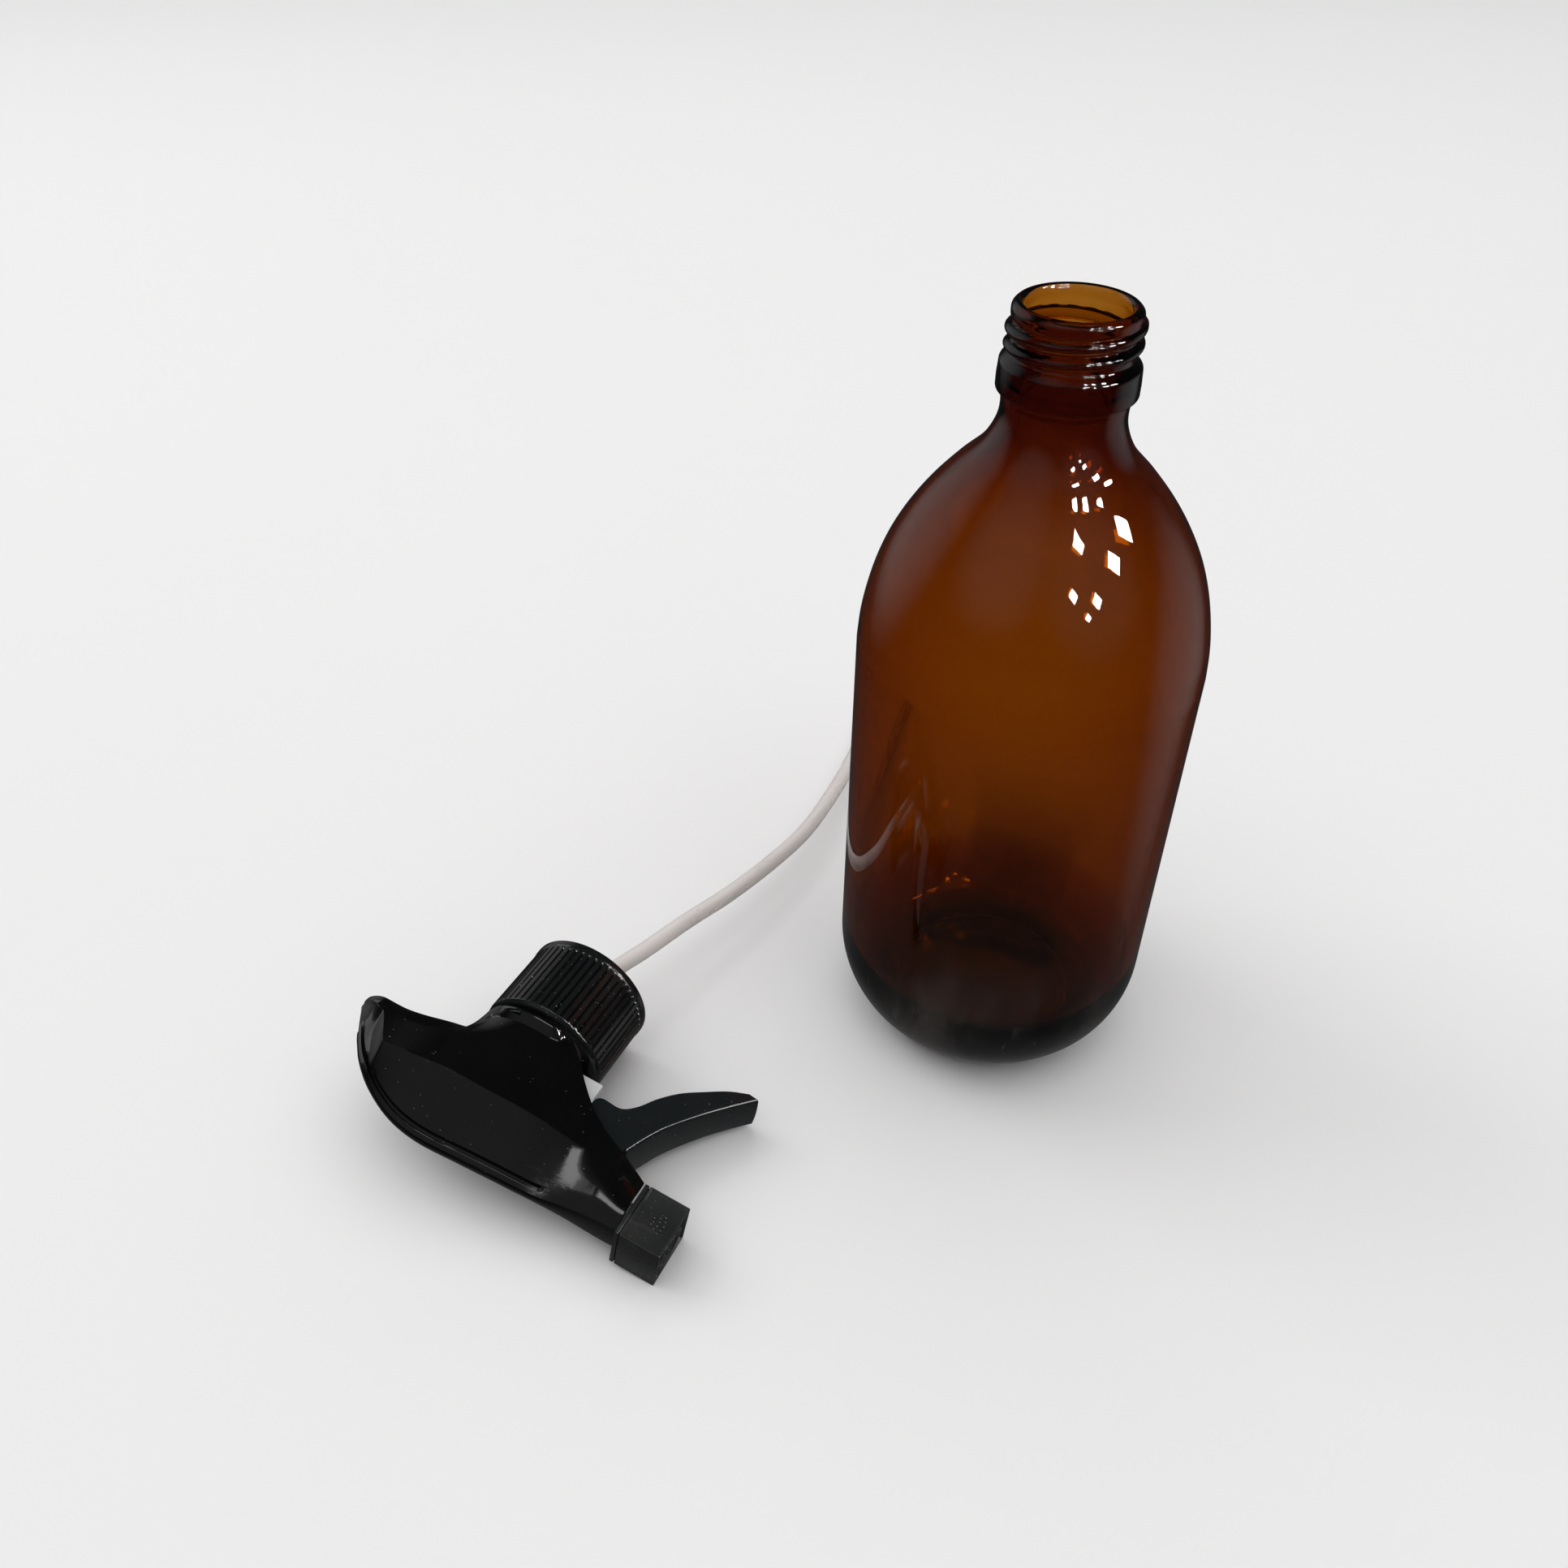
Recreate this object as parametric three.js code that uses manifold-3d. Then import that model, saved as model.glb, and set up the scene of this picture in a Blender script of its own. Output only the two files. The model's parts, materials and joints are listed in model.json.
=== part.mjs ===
// Trigger spray bottle, taken apart for refilling: an open amber glass bottle stands beside its trigger
// sprayer, which lies on its right side with the dip tube curving away behind the bottle.
// Millimetres, +Z up. The origin is on the surface, under the middle of the bottle and sprayer together.
//
// The sprayer is drawn as it stands in use, x forward (spray direction), y to its left and z up, with its own
// origin on the neck axis at the top of the screw collar. One group then lays it on its side.

import * as THREE from 'three';
import { mergeVertices } from 'three/addons/utils/BufferGeometryUtils.js';
import Module from 'manifold-3d';

const wasm = await Module();
wasm.setup();

// ---------------------------------------------------------------- driving dimensions
const GAP = 0.3;                    // clearance kept between neighbouring pieces

const BOTTLE_AT = [45.4, 41.4];     // bottle axis on the surface
const SPRAYER_AT = [-41.7, -45.1];  // sprayer's neck axis, at the top of the collar

const BOTTLE = {
  height: 190.9, radius: 39.5, wall: 2.6,
  standRadius: 24, heelRadius: 29, pushUp: 4.5,
  shoulderFrom: 113, shoulderTo: 173.4,
  shoulder: [39.5, 39.0, 37.9, 36.3, 34.0, 30.8, 26.7, 21.6, 15.9, 13.2, 13.0],
  bore: 10.4, finish: 12.4, thread: 13.7, bead: 14.2,
};

const COLLAR = { rim: 16.8, body: 16.6, height: 23.4, bore: 14.5, roof: 2.6, hole: 10.6 };
const TUBE = { radius: 2.25, sides: 8 };

const SPOUT_Z = 27.45;              // spray axis height
const BORE_Z = 9.5;                 // pump bore height
const BORE_R = 4.0;
const EAR = { inner: 5.3, outer: 6.5 }; // trigger side walls, straddling the pump cylinder
const PIVOT = [29.5, 20.2];         // trigger pin, x and z
const NOZZLE = { from: 42.1, to: 53.9, half: 6.7, low: 20.5, high: 34.4 };
const SHELL = 1.3;                  // shroud wall

// ---------------------------------------------------------------- helpers
function toSolid(geometry) {
  const bare = geometry.clone();
  bare.deleteAttribute('normal');
  bare.deleteAttribute('uv');
  const merged = mergeVertices(bare, 1e-4);
  const vertProperties = new Float32Array(merged.attributes.position.array);
  const triVerts = new Uint32Array(merged.index.array);
  return new wasm.Manifold(new wasm.Mesh({ numProp: 3, vertProperties, triVerts }));
}

function toGeometry(solid) {
  const mesh = solid.getMesh();
  const geometry = new THREE.BufferGeometry();
  geometry.setAttribute('position', new THREE.BufferAttribute(new Float32Array(mesh.vertProperties), 3));
  geometry.setIndex(new THREE.BufferAttribute(new Uint32Array(mesh.triVerts), 1));
  return geometry;
}

const join = (...shapes) => toGeometry(shapes.map(toSolid).reduce((a, b) => a.add(b)));
const cut = (shape, ...tools) => (
  toGeometry(tools.map(toSolid).reduce((a, b) => a.subtract(b), toSolid(shape)))
);
const common = (a, b) => toGeometry(toSolid(a).intersect(toSolid(b)));

// Solid of revolution about z from [radius, z] points.
function turned(profile, segments = 32) {
  const points = profile.map(([r, z]) => new THREE.Vector2(r, z));
  const closed = profile[0][0] > 0;
  if (closed) points.push(points[0].clone());
  return new THREE.LatheGeometry(points, segments).rotateX(Math.PI / 2);
}

const alongX = (geometry) => geometry.rotateY(Math.PI / 2);
const alongY = (geometry) => geometry.rotateX(-Math.PI / 2);

function rod(radius, z0, z1, segments = 20) {
  return turned([[0, z0], [radius, z0], [radius, z1], [0, z1]], segments);
}

function ring(inner, outer, z0, z1, segments = 32) {
  return turned([[inner, z0], [outer, z0], [outer, z1], [inner, z1]], segments);
}

function block(x0, x1, y0, y1, z0, z1) {
  const box = new THREE.BoxGeometry(x1 - x0, y1 - y0, z1 - z0);
  return box.translate((x0 + x1) / 2, (y0 + y1) / 2, (z0 + z1) / 2);
}

// Plate with an [x, z] outline, standing upright between y0 and y1.
function plate(outline, y0, y1) {
  const shape = new THREE.Shape(outline.map(([x, z]) => new THREE.Vector2(x, z)));
  const slab = new THREE.ExtrudeGeometry(shape, { depth: y1 - y0, bevelEnabled: false });
  return slab.rotateX(Math.PI / 2).translate(0, y1, 0);
}

// Closed skin over rings that all hold the same number of points.
function loft(rings) {
  const count = rings[0].length;
  const position = rings.flat(2);
  const index = [];
  for (let i = 0; i + 1 < rings.length; i += 1) {
    for (let j = 0; j < count; j += 1) {
      const a = i * count + j;
      const b = i * count + ((j + 1) % count);
      index.push(a, b, b + count, a, b + count, a + count);
    }
  }
  const last = (rings.length - 1) * count;
  for (let j = 1; j + 1 < count; j += 1) {
    index.push(0, j + 1, j);
    index.push(last, last + j, last + j + 1);
  }
  const geometry = new THREE.BufferGeometry();
  geometry.setAttribute('position', new THREE.Float32BufferAttribute(position, 3));
  geometry.setIndex(index);
  return geometry;
}

// Screw thread: a ridge wound about z on a wall of the given radius, its crest reaching out (or in) to crest.
function threadRidge(wall, crest, zStart, pitch, turns, width) {
  const root = crest > wall ? wall - 0.4 : wall + 0.4;
  const steps = Math.round(turns * 24);
  const rings = [];
  for (let i = 0; i <= steps; i += 1) {
    const angle = (i / 24) * Math.PI * 2;
    const fade = Math.min(1, i / 4 + 0.05, (steps - i) / 4 + 0.05);
    const z = zStart + (pitch * i) / 24;
    const tip = wall + (crest - wall) * fade;
    const section = [
      [root, z - width / 2], [tip, z - width / 5], [tip, z + width / 5], [root, z + width / 2],
    ];
    rings.push(section.map(([r, h]) => [r * Math.cos(angle), r * Math.sin(angle), h]));
  }
  if (crest > wall) rings.forEach((points) => points.reverse());
  return loft(rings);
}

function spring(radius, wire, z0, z1, turns) {
  class Coil extends THREE.Curve {
    getPoint(t) {
      const angle = t * turns * Math.PI * 2;
      return new THREE.Vector3(radius * Math.cos(angle), radius * Math.sin(angle), z0 + (z1 - z0) * t);
    }
  }
  const round = new THREE.Shape();
  round.absarc(0, 0, wire / 2, 0, Math.PI * 2);
  return new THREE.ExtrudeGeometry(round, { extrudePath: new Coil(), steps: turns * 10, curveSegments: 3 });
}

function material(color, roughness, metalness = 0) {
  return new THREE.MeshStandardMaterial({ color, roughness, metalness });
}

const amberGlass = material(0x5a2408, 0.08);
const glossBlack = material(0x0a0b0c, 0.22);
const naturalGrey = material(0x8d8f90, 0.45);
const milkyTube = material(0xe8e2de, 0.35);
const whiteSeal = material(0xdad8d2, 0.6);
const steel = material(0xb4b6b8, 0.3, 1);

// ---------------------------------------------------------------- bottle
const HEEL_CENTRE = [BOTTLE.radius - BOTTLE.heelRadius, 23.9];
const FLOOR_RISE = 2;               // the inside heel sits this much above the outside one
const DROP = 0.075;                 // how far the inner shoulder sinks, per step and mm of wall

// Points on an arc about the heel's centre, raised by lift.
function heelArc(radius, lift, angles) {
  return angles.map((degrees) => {
    const angle = THREE.MathUtils.degToRad(degrees);
    return [HEEL_CENTRE[0] + radius * Math.cos(angle), HEEL_CENTRE[1] + lift + radius * Math.sin(angle)];
  });
}

function bottleOutside() {
  const b = BOTTLE;
  const top = b.height;
  const step = (b.shoulderTo - b.shoulderFrom) / (b.shoulder.length - 1);
  return [
    [0, b.pushUp], [9, 4.0], [16, 2.4], [20.5, 0.5], [21.5, 0], [b.standRadius + 1.5, 0],
    ...heelArc(b.heelRadius, 0, [-51, -40, -30, -20, -10, 0]),
    ...b.shoulder.map((r, i) => [r, b.shoulderFrom + step * i]),
    [b.bead - 0.2, 173.7], [b.bead, 174.5], [b.bead - 0.3, 179.6], [b.finish, 180.6],
    [b.finish, top - 3.4], [b.finish + 0.3, top - 2.8], [b.finish + 0.3, top - 1.2], [b.finish - 0.7, top],
  ];
}

function bottleInside() {
  const b = BOTTLE;
  const step = (b.shoulderTo - b.shoulderFrom) / (b.shoulder.length - 1);
  const extra = [0, 0, 0, 0, 0, 0.1, 0.3, 0.4, 0.4];
  const shoulder = extra.map((more, i) => {
    const inset = b.wall + more;
    return [b.shoulder[i] - inset, b.shoulderFrom + step * i - inset * DROP * i];
  });
  return [
    [b.bore + 0.5, b.height], [b.bore, b.height - 0.8], [b.bore, 167.5],
    ...shoulder.reverse(),
    ...heelArc(b.heelRadius - 3, FLOOR_RISE, [0, -15, -30, -45, -60]),
    [16, 4.6], [9, 7.4], [0, 8.4],
  ];
}

function makeBottle() {
  const shell = turned([...bottleOutside(), ...bottleInside()], 40);
  const ridge = threadRidge(BOTTLE.finish, BOTTLE.thread, 181.9, 3.2, 1.6, 2.2);
  return join(shell, ridge);
}

// ---------------------------------------------------------------- collar, seals and feed
function makeCollar() {
  const c = COLLAR;
  const shell = turned([
    [c.bore + 0.4, -c.height], [c.rim, -c.height], [c.rim, -c.height + 1.8], [c.body, -c.height + 2.2],
    [c.body, -1.4], [c.body - 0.8, -0.6], [c.hole, -0.6], [c.hole, -0.6 - c.roof],
    [c.bore, -0.6 - c.roof], [c.bore, -c.height + 0.4],
  ], 40);
  return join(shell, threadRidge(c.bore, c.bore - 0.9, -19.5, 3.2, 2.2, 2));
}

const FLANGE_TOP = -0.6 - COLLAR.roof - GAP;
const FLANGE_LOW = FLANGE_TOP - 1.5;

const makeGasket = () => ring(9.2, 13.6, FLANGE_LOW - GAP - 1.2, FLANGE_LOW - GAP);

function makeRetainer() {
  return turned([
    [TUBE.radius + 0.3, -15], [4.2, -15], [4.2, -9.6], [5.2, -8.4], [5.2, -7.4], [1.5, -7.4],
    [1.5, -8.2], [TUBE.radius + 0.3, -8.2],
  ], 20);
}

function makeIntakeSeat() {
  return turned([[1.3, -7.1], [5.0, -7.1], [5.0, -6.3], [2.6, -6.3], [1.3, -6.7]], 20);
}

const makeIntakeBall = () => new THREE.SphereGeometry(1.9, 12, 8).translate(0, 0, -4.1);

// ---------------------------------------------------------------- pump
function makePumpBody() {
  const flange = rod(13.6, FLANGE_LOW, FLANGE_TOP, 32);
  const neck = rod(10.2, FLANGE_TOP - 0.2, 2, 32);
  const foot = rod(6.6, -8.8, FLANGE_LOW + 0.2, 24);
  const tower = turned([[0, 0], [4.5, 0], [4.5, 19], [3.3, 21], [3.3, 30.4], [0, 30.4]], 20);
  const barrel = alongX(rod(3.4, 0, 47, 20)).translate(0, 0, SPOUT_Z);
  const cylinder = alongX(rod(4.9, 0, 20, 24)).translate(0, 0, BORE_Z);
  const web = block(3, 28.5, -1.1, 1.1, 13, 25.5);
  const lug = plate([[26.6, 24.5], [26.6, 19], [28, 17.2], [31, 17.2], [32.4, 19], [32.4, 24.5]], -3.4, 3.4);
  const body = join(flange, neck, foot, tower, barrel, cylinder, web, lug);
  return cut(
    body,
    rod(5.4, -9.5, -6, 20), rod(2.4, -6.5, 1, 16), rod(1.3, 0, 20.6, 16), rod(2.3, 20.5, 32, 16),
    alongX(rod(1.4, 0, 48, 12)).translate(0, 0, SPOUT_Z),
    alongX(rod(BORE_R, 6, 21, 24)).translate(0, 0, BORE_Z),
    alongX(rod(1.2, 0, 7, 10)).translate(0, 0, BORE_Z),
    alongY(rod(1.6, -4, 4, 12)).translate(PIVOT[0], 0, PIVOT[1]),
  );
}

const makeOutletDisc = () => rod(1.95, 20.9, 21.9, 16);
const makeOutletSpring = () => spring(1.5, 0.5, 22.5, 28.1, 4);

function makeOutletPlug() {
  return turned([[0, 28.7], [2.0, 28.7], [2.0, 31.15], [2.6, 31.15], [2.6, 31.6], [0, 31.6]], 20);
}

function makePiston() {
  const stem = turned([
    [0, 13.9], [3.7, 13.9], [3.7, 14.5], [2.8, 14.5], [2.8, 16.5], [3.7, 16.5], [3.7, 17.1], [1.9, 17.1],
    [1.9, 31.2], [2.5, 31.9], [2.5, 32.8], [1.6, 33.9], [0, 34.2],
  ], 20);
  return alongX(stem).translate(0, 0, BORE_Z);
}

const makePistonSeal = () => alongX(ring(3.1, 3.7, 14.8, 16.2, 24)).translate(0, 0, BORE_Z);
const makeVentSeal = () => alongX(ring(2.2, 3.7, 17.4, 18.6, 24)).translate(0, 0, BORE_Z);
const makeReturnSpring = () => alongX(spring(2.7, 0.7, 6.7, 13.2, 5)).translate(0, 0, BORE_Z);

// ---------------------------------------------------------------- trigger
const TRIGGER_FRONT = [
  [31.6, 21.8], [33.4, 17.4], [36.2, 10.6], [38.9, 5.0], [44.3, -3.0], [49.3, -9.2], [53.9, -14.4],
];
const TRIGGER_BACK = [[51.1, -14.7], [46.5, -12.6], [41.2, -8.9], [36.6, -5.3], [32.8, -0.7], [29.9, 4.0]];
const TRIGGER_HEAD = [
  [27.0, 6.5], [21.6, 6.6], [20.4, 8.0], [21.4, 12.4], [25.6, 18.0], [26.6, 20.8], [29.2, 22.3],
];

function makeTrigger() {
  const side = [...TRIGGER_FRONT, ...TRIGGER_BACK, ...TRIGGER_HEAD];
  const full = plate(side, -8, 8);
  const taper = loft([
    [[0, -5.4, -20], [70, -5.4, -20], [70, 5.4, -20], [0, 5.4, -20]],
    [[0, -5.6, -6], [70, -5.6, -6], [70, 5.6, -6], [0, 5.6, -6]],
    [[0, -EAR.outer, 10], [70, -EAR.outer, 10], [70, EAR.outer, 10], [0, EAR.outer, 10]],
    [[0, -EAR.outer, 30], [70, -EAR.outer, 30], [70, EAR.outer, 30], [0, EAR.outer, 30]],
  ]);
  const body = common(full, taper);
  const wall = 1.7;
  const hollowFront = TRIGGER_FRONT.slice(0, 6).map(([x, z]) => [x - wall * 0.95, z - wall * 0.5]);
  hollowFront[0][1] += 6;
  const hollow = [...hollowFront, [44.2, -16], [10, -16], [10, 30]];
  const upper = common(plate(hollow, -EAR.inner, EAR.inner), block(0, 60, -8, 8, 2, 31));
  const lower = common(plate(hollow, -4.2, 4.2), block(0, 60, -8, 8, -17, 2.5));
  const earSlot = block(15, 42, -EAR.inner, EAR.inner, 16.6, 31);
  return cut(body, upper, lower, earSlot, alongY(rod(1.6, -9, 9, 12)).translate(PIVOT[0], 0, PIVOT[1]));
}

const makeTriggerPin = () => alongY(rod(1.3, -EAR.outer, EAR.outer, 16)).translate(PIVOT[0], 0, PIVOT[1]);

// ---------------------------------------------------------------- nozzle
function makeNozzle() {
  const n = NOZZLE;
  const body = block(n.from, n.to, -n.half, n.half, n.low, n.high);
  const socket = alongX(rod(5.4, n.from - 1, n.from + 8.4, 24)).translate(0, 0, SPOUT_Z);
  const cup = alongX(rod(4.4, n.to - 1.6, n.to + 1, 24)).translate(0, 0, SPOUT_Z);
  const orifice = alongX(rod(0.6, n.from + 8, n.to, 12)).translate(0, 0, SPOUT_Z);
  return cut(body, socket, cup, orifice);
}

const makeSpinner = () => alongX(rod(3.0, 47.4, 49.6, 16)).translate(0, 0, SPOUT_Z);
const makeNozzleSeal = () => alongX(ring(3.8, 5.0, 43.4, 45.0, 20)).translate(0, 0, SPOUT_Z);

// ---------------------------------------------------------------- shroud
// Lower edge of the side outline, from the tail tip to the nozzle.
const TAIL_EDGE = [
  [-43.4, 11.6], [-42.4, 10.9], [-38, 10.9], [-30, 11.6], [-23, 10.6], [-18.6, 8.2], [-16.4, 4.6],
];
const SKIRT_EDGE = [[-16.2, 0.4], [9.5, 0.4]];
const FRONT_EDGE = [
  [13.0, 3.6], [17.2, 7.6], [21.6, 11.2], [26.6, 14.3], [33.5, 17.3], [40.0, 19.8], [41.7, 20.6],
];
// Ridge of the side outline, from the nozzle back to the tail tip.
const RIDGE = [
  [41.7, 32.5], [30, 33.0], [20, 34.0], [10, 34.6], [0, 35.2], [-9, 35.7], [-15, 35.2], [-20, 34.0],
  [-25, 31.9], [-30, 29.0], [-35, 25.0], [-39.5, 19.6], [-42.6, 14.6], [-43.9, 12.6],
];
const SKIRT_RADIUS = 13;
const RIDGE_HALF = 1.3;             // half width of the narrow band along the ridge
const STATIONS = [
  -46, -42, -38, -33, -28, -23, -19, -16, -13, -11.5, -9, -6, -3, 0, 6, 12, 18, 24, 30, 36, 43,
];

function ridgeHeight(x) {
  const next = RIDGE.findIndex((point) => point[0] <= x);
  if (next === 0) return RIDGE[0][1];
  if (next < 0) return RIDGE[RIDGE.length - 1][1];
  const [[x1, z1], [x0, z0]] = RIDGE.slice(next - 1, next + 1);
  return z0 + ((z1 - z0) * (x - x0)) / (x1 - x0);
}

// Half width of the shroud at its widest, along the crease between flank and panel.
function creaseHalf(x) {
  const { lerp, smoothstep } = THREE.MathUtils;
  if (x > 0) return lerp(11.2, 8.4, smoothstep(x, 6, 33)) - 1.7 * smoothstep(x, 32.5, 42);
  return lerp(11.2, 5.4, smoothstep(-x, 8, 43));
}

// Half widths of the shroud at station x, from below the skirt up past the ridge.
function halfWidths(x) {
  const { lerp, smoothstep, clamp } = THREE.MathUtils;
  const wide = creaseHalf(x);
  const round = Math.sqrt(Math.max(0.05, SKIRT_RADIUS ** 2 - Math.min(x, 0) ** 2));
  const skirt = x > 0 ? lerp(SKIRT_RADIUS, wide, clamp(x / 30, 0, 1)) : round;
  const flare = smoothstep(x, 16, 40);
  const top = ridgeHeight(x);
  const crease = Math.min(lerp(22, 20.5, clamp(x / 41, 0, 1)), top - 5.5);
  const narrow = lerp(RIDGE_HALF, 3.7, flare);
  return [
    [-6, skirt], [3, skirt],
    [lerp(3, crease, 0.27), lerp(skirt, wide, 0.55)], [lerp(3, crease, 0.5), lerp(skirt, wide, 0.9)],
    [crease, wide], [lerp(crease, top, 0.5), lerp(wide, narrow, 0.5) + 1.5 * flare],
    [top, narrow], [top + 6, narrow],
  ];
}

function envelope(shrink) {
  return loft(STATIONS.map((x) => {
    const side = halfWidths(x).map(([z, w]) => [z, Math.max(0.15, w - shrink)]);
    const left = side.map(([z, w]) => [x, w, z]);
    const right = side.map(([z, w]) => [x, -w, z]).reverse();
    return [...right, ...left];
  }));
}

function makeShroud() {
  const outline = [...TAIL_EDGE, ...SKIRT_EDGE, ...FRONT_EDGE, ...RIDGE];
  const outer = common(plate(outline, -20, 20), envelope(0));
  const roof = RIDGE.slice(0, -3).map(([x, z]) => [x, z - SHELL]);
  const tailFloor = [[-36, 20], [-34, 13.4], [-23, 12.4], [-16.5, 9.4], [-12.4, 6]];
  const hollow = [[43, 14], [43, 31.2], ...roof, ...tailFloor, [-12.4, -2], [20, -2]];
  const inner = common(plate(hollow, -20, 20), envelope(SHELL));
  const lip = common(ring(12.0, 15.2, 0.4, 1.9, 40), block(-16, 9.4, -16, 16, 0, 3));
  return cut(join(outer, lip), inner, rod(11.6, 0, 2.4, 32));
}

// ---------------------------------------------------------------- dip tube
// Centre line on the surface's axes, from the retainer to the free end.
const TUBE_ROUTE = [
  [-41.7, -35.5, 16.8], [-41.7, -29, 16.8], [-41.5, -21, 16.7], [-39.8, -11.5, 16.3], [-37.0, -2.2, 15.6],
  [-32.7, 14.4, 14.4], [-28.1, 29.9, 13.1], [-24.2, 48.6, 11.5], [-22.0, 67.4, 9.7], [-22.7, 87.2, 7.7],
  [-25.5, 113.5, 5.4], [-28.6, 131, 3.9], [-31.6, 146, 2.8], [-33.4, 155, 2.5],
];

function makeDipTube() {
  const path = new THREE.CatmullRomCurve3(TUBE_ROUTE.map((p) => new THREE.Vector3(...p)), false, 'centripetal');
  const round = new THREE.Shape();
  const step = (Math.PI * 2) / TUBE.sides;
  const corners = Array.from({ length: TUBE.sides }, (_, i) => new THREE.Vector2(
    TUBE.radius * Math.cos(step * i),
    TUBE.radius * Math.sin(step * i),
  ));
  round.setFromPoints(corners);
  return new THREE.ExtrudeGeometry(round, { extrudePath: path, steps: 26 });
}

// ---------------------------------------------------------------- assembly
function part(parent, name, geometry, look) {
  const mesh = new THREE.Mesh(geometry, look.clone());
  mesh.name = name;
  parent.add(mesh);
  return mesh;
}

const root = new THREE.Group();

const bottleGroup = new THREE.Group();
bottleGroup.position.set(BOTTLE_AT[0], BOTTLE_AT[1], 0);
root.add(bottleGroup);
part(bottleGroup, 'bottle', makeBottle(), amberGlass);

// Lying on its right side, the sprayer rests on its collar and on the front edge of the nozzle block.
const reach = Math.hypot(NOZZLE.to, NOZZLE.half);
const noseDrop = Math.asin(COLLAR.rim / reach) - Math.atan2(NOZZLE.half, NOZZLE.to);
const forward = new THREE.Vector3(Math.cos(noseDrop), 0, -Math.sin(noseDrop));
const leftSide = new THREE.Vector3(Math.sin(noseDrop), 0, Math.cos(noseDrop));
const upward = new THREE.Vector3(0, -1, 0);
const sprayer = new THREE.Group();
sprayer.setRotationFromMatrix(new THREE.Matrix4().makeBasis(forward, leftSide, upward));
sprayer.position.set(SPRAYER_AT[0], SPRAYER_AT[1], COLLAR.rim);
root.add(sprayer);

part(sprayer, 'screw_collar', makeCollar(), glossBlack);
part(sprayer, 'neck_gasket', makeGasket(), whiteSeal);
part(sprayer, 'tube_retainer', makeRetainer(), naturalGrey);
part(sprayer, 'intake_seat', makeIntakeSeat(), whiteSeal);
part(sprayer, 'intake_ball', makeIntakeBall(), steel);
part(sprayer, 'pump_body', makePumpBody(), naturalGrey);
part(sprayer, 'outlet_disc', makeOutletDisc(), whiteSeal);
part(sprayer, 'outlet_spring', makeOutletSpring(), steel);
part(sprayer, 'outlet_plug', makeOutletPlug(), naturalGrey);
part(sprayer, 'piston', makePiston(), naturalGrey);
part(sprayer, 'piston_seal', makePistonSeal(), whiteSeal);
part(sprayer, 'vent_seal', makeVentSeal(), whiteSeal);
part(sprayer, 'return_spring', makeReturnSpring(), steel);
part(sprayer, 'trigger', makeTrigger(), glossBlack);
part(sprayer, 'trigger_pin', makeTriggerPin(), steel);
part(sprayer, 'spinner', makeSpinner(), whiteSeal);
part(sprayer, 'nozzle_seal', makeNozzleSeal(), whiteSeal);
part(sprayer, 'nozzle_cap', makeNozzle(), glossBlack);
part(sprayer, 'shroud', makeShroud(), glossBlack);
part(root, 'dip_tube', makeDipTube(), milkyTube);

export default root;
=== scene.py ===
# An open amber glass bottle beside its trigger sprayer, which lies on its side with the dip tube behind.
# The sprayer's pieces are drawn in its own axes, in millimetres: x forward, y left, z up in use,
# with the origin on the neck axis at the top of the collar. SPRAY puts them in the row frame.
import json
import math

import bmesh
import bpy
import numpy as np
from mathutils import Matrix, Vector

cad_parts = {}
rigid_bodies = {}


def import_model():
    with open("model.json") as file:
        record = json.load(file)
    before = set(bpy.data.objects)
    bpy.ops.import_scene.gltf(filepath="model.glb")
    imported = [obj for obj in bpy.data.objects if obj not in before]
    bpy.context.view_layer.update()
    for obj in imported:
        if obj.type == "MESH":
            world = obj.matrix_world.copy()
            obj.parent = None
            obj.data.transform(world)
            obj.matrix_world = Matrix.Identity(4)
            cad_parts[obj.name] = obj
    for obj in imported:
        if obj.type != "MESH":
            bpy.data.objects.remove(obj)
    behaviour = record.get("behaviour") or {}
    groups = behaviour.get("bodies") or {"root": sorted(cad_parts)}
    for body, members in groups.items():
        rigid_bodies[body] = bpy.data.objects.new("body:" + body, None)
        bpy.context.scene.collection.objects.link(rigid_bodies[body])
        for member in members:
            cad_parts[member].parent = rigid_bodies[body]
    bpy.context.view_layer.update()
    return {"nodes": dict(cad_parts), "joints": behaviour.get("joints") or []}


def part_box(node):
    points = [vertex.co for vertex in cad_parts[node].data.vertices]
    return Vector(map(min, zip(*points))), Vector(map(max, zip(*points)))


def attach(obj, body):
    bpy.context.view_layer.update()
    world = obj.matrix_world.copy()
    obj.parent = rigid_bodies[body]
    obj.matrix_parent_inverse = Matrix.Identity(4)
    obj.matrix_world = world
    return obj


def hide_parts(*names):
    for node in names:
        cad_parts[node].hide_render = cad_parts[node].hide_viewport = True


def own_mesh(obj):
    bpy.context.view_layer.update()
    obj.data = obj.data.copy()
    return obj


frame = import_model()

MM = 0.001
TAU = 2 * math.pi
GLASS_SEGMENTS = 192
TURNED_SEGMENTS = 72


# ---------------------------------------------------------------- places
def joint(name):
    return next(j for j in frame["joints"] if j["name"] == name)


def sprayer_matrix():
    """The sprayer's own axes in the row frame, from the collar's box and the joints' axes."""
    low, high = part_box("screw_collar")
    forward = Vector(joint("nozzle_turn")["axis"]).normalized()
    up = Vector(joint("collar_spin")["axis"]).normalized()
    left = up.cross(forward)
    origin = Vector(((low.x + high.x) / 2, low.y - 0.6 * MM, (low.z + high.z) / 2))
    turn = Matrix((forward, left, up)).transposed().to_4x4()
    return Matrix.Translation(origin) @ turn


def bottle_matrix():
    low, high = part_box("bottle")
    return Matrix.Translation(Vector(((low.x + high.x) / 2, (low.y + high.y) / 2, low.z)))


SPRAY = sprayer_matrix()
BOTTLE = bottle_matrix()
ROW = Matrix.Identity(4)


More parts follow.
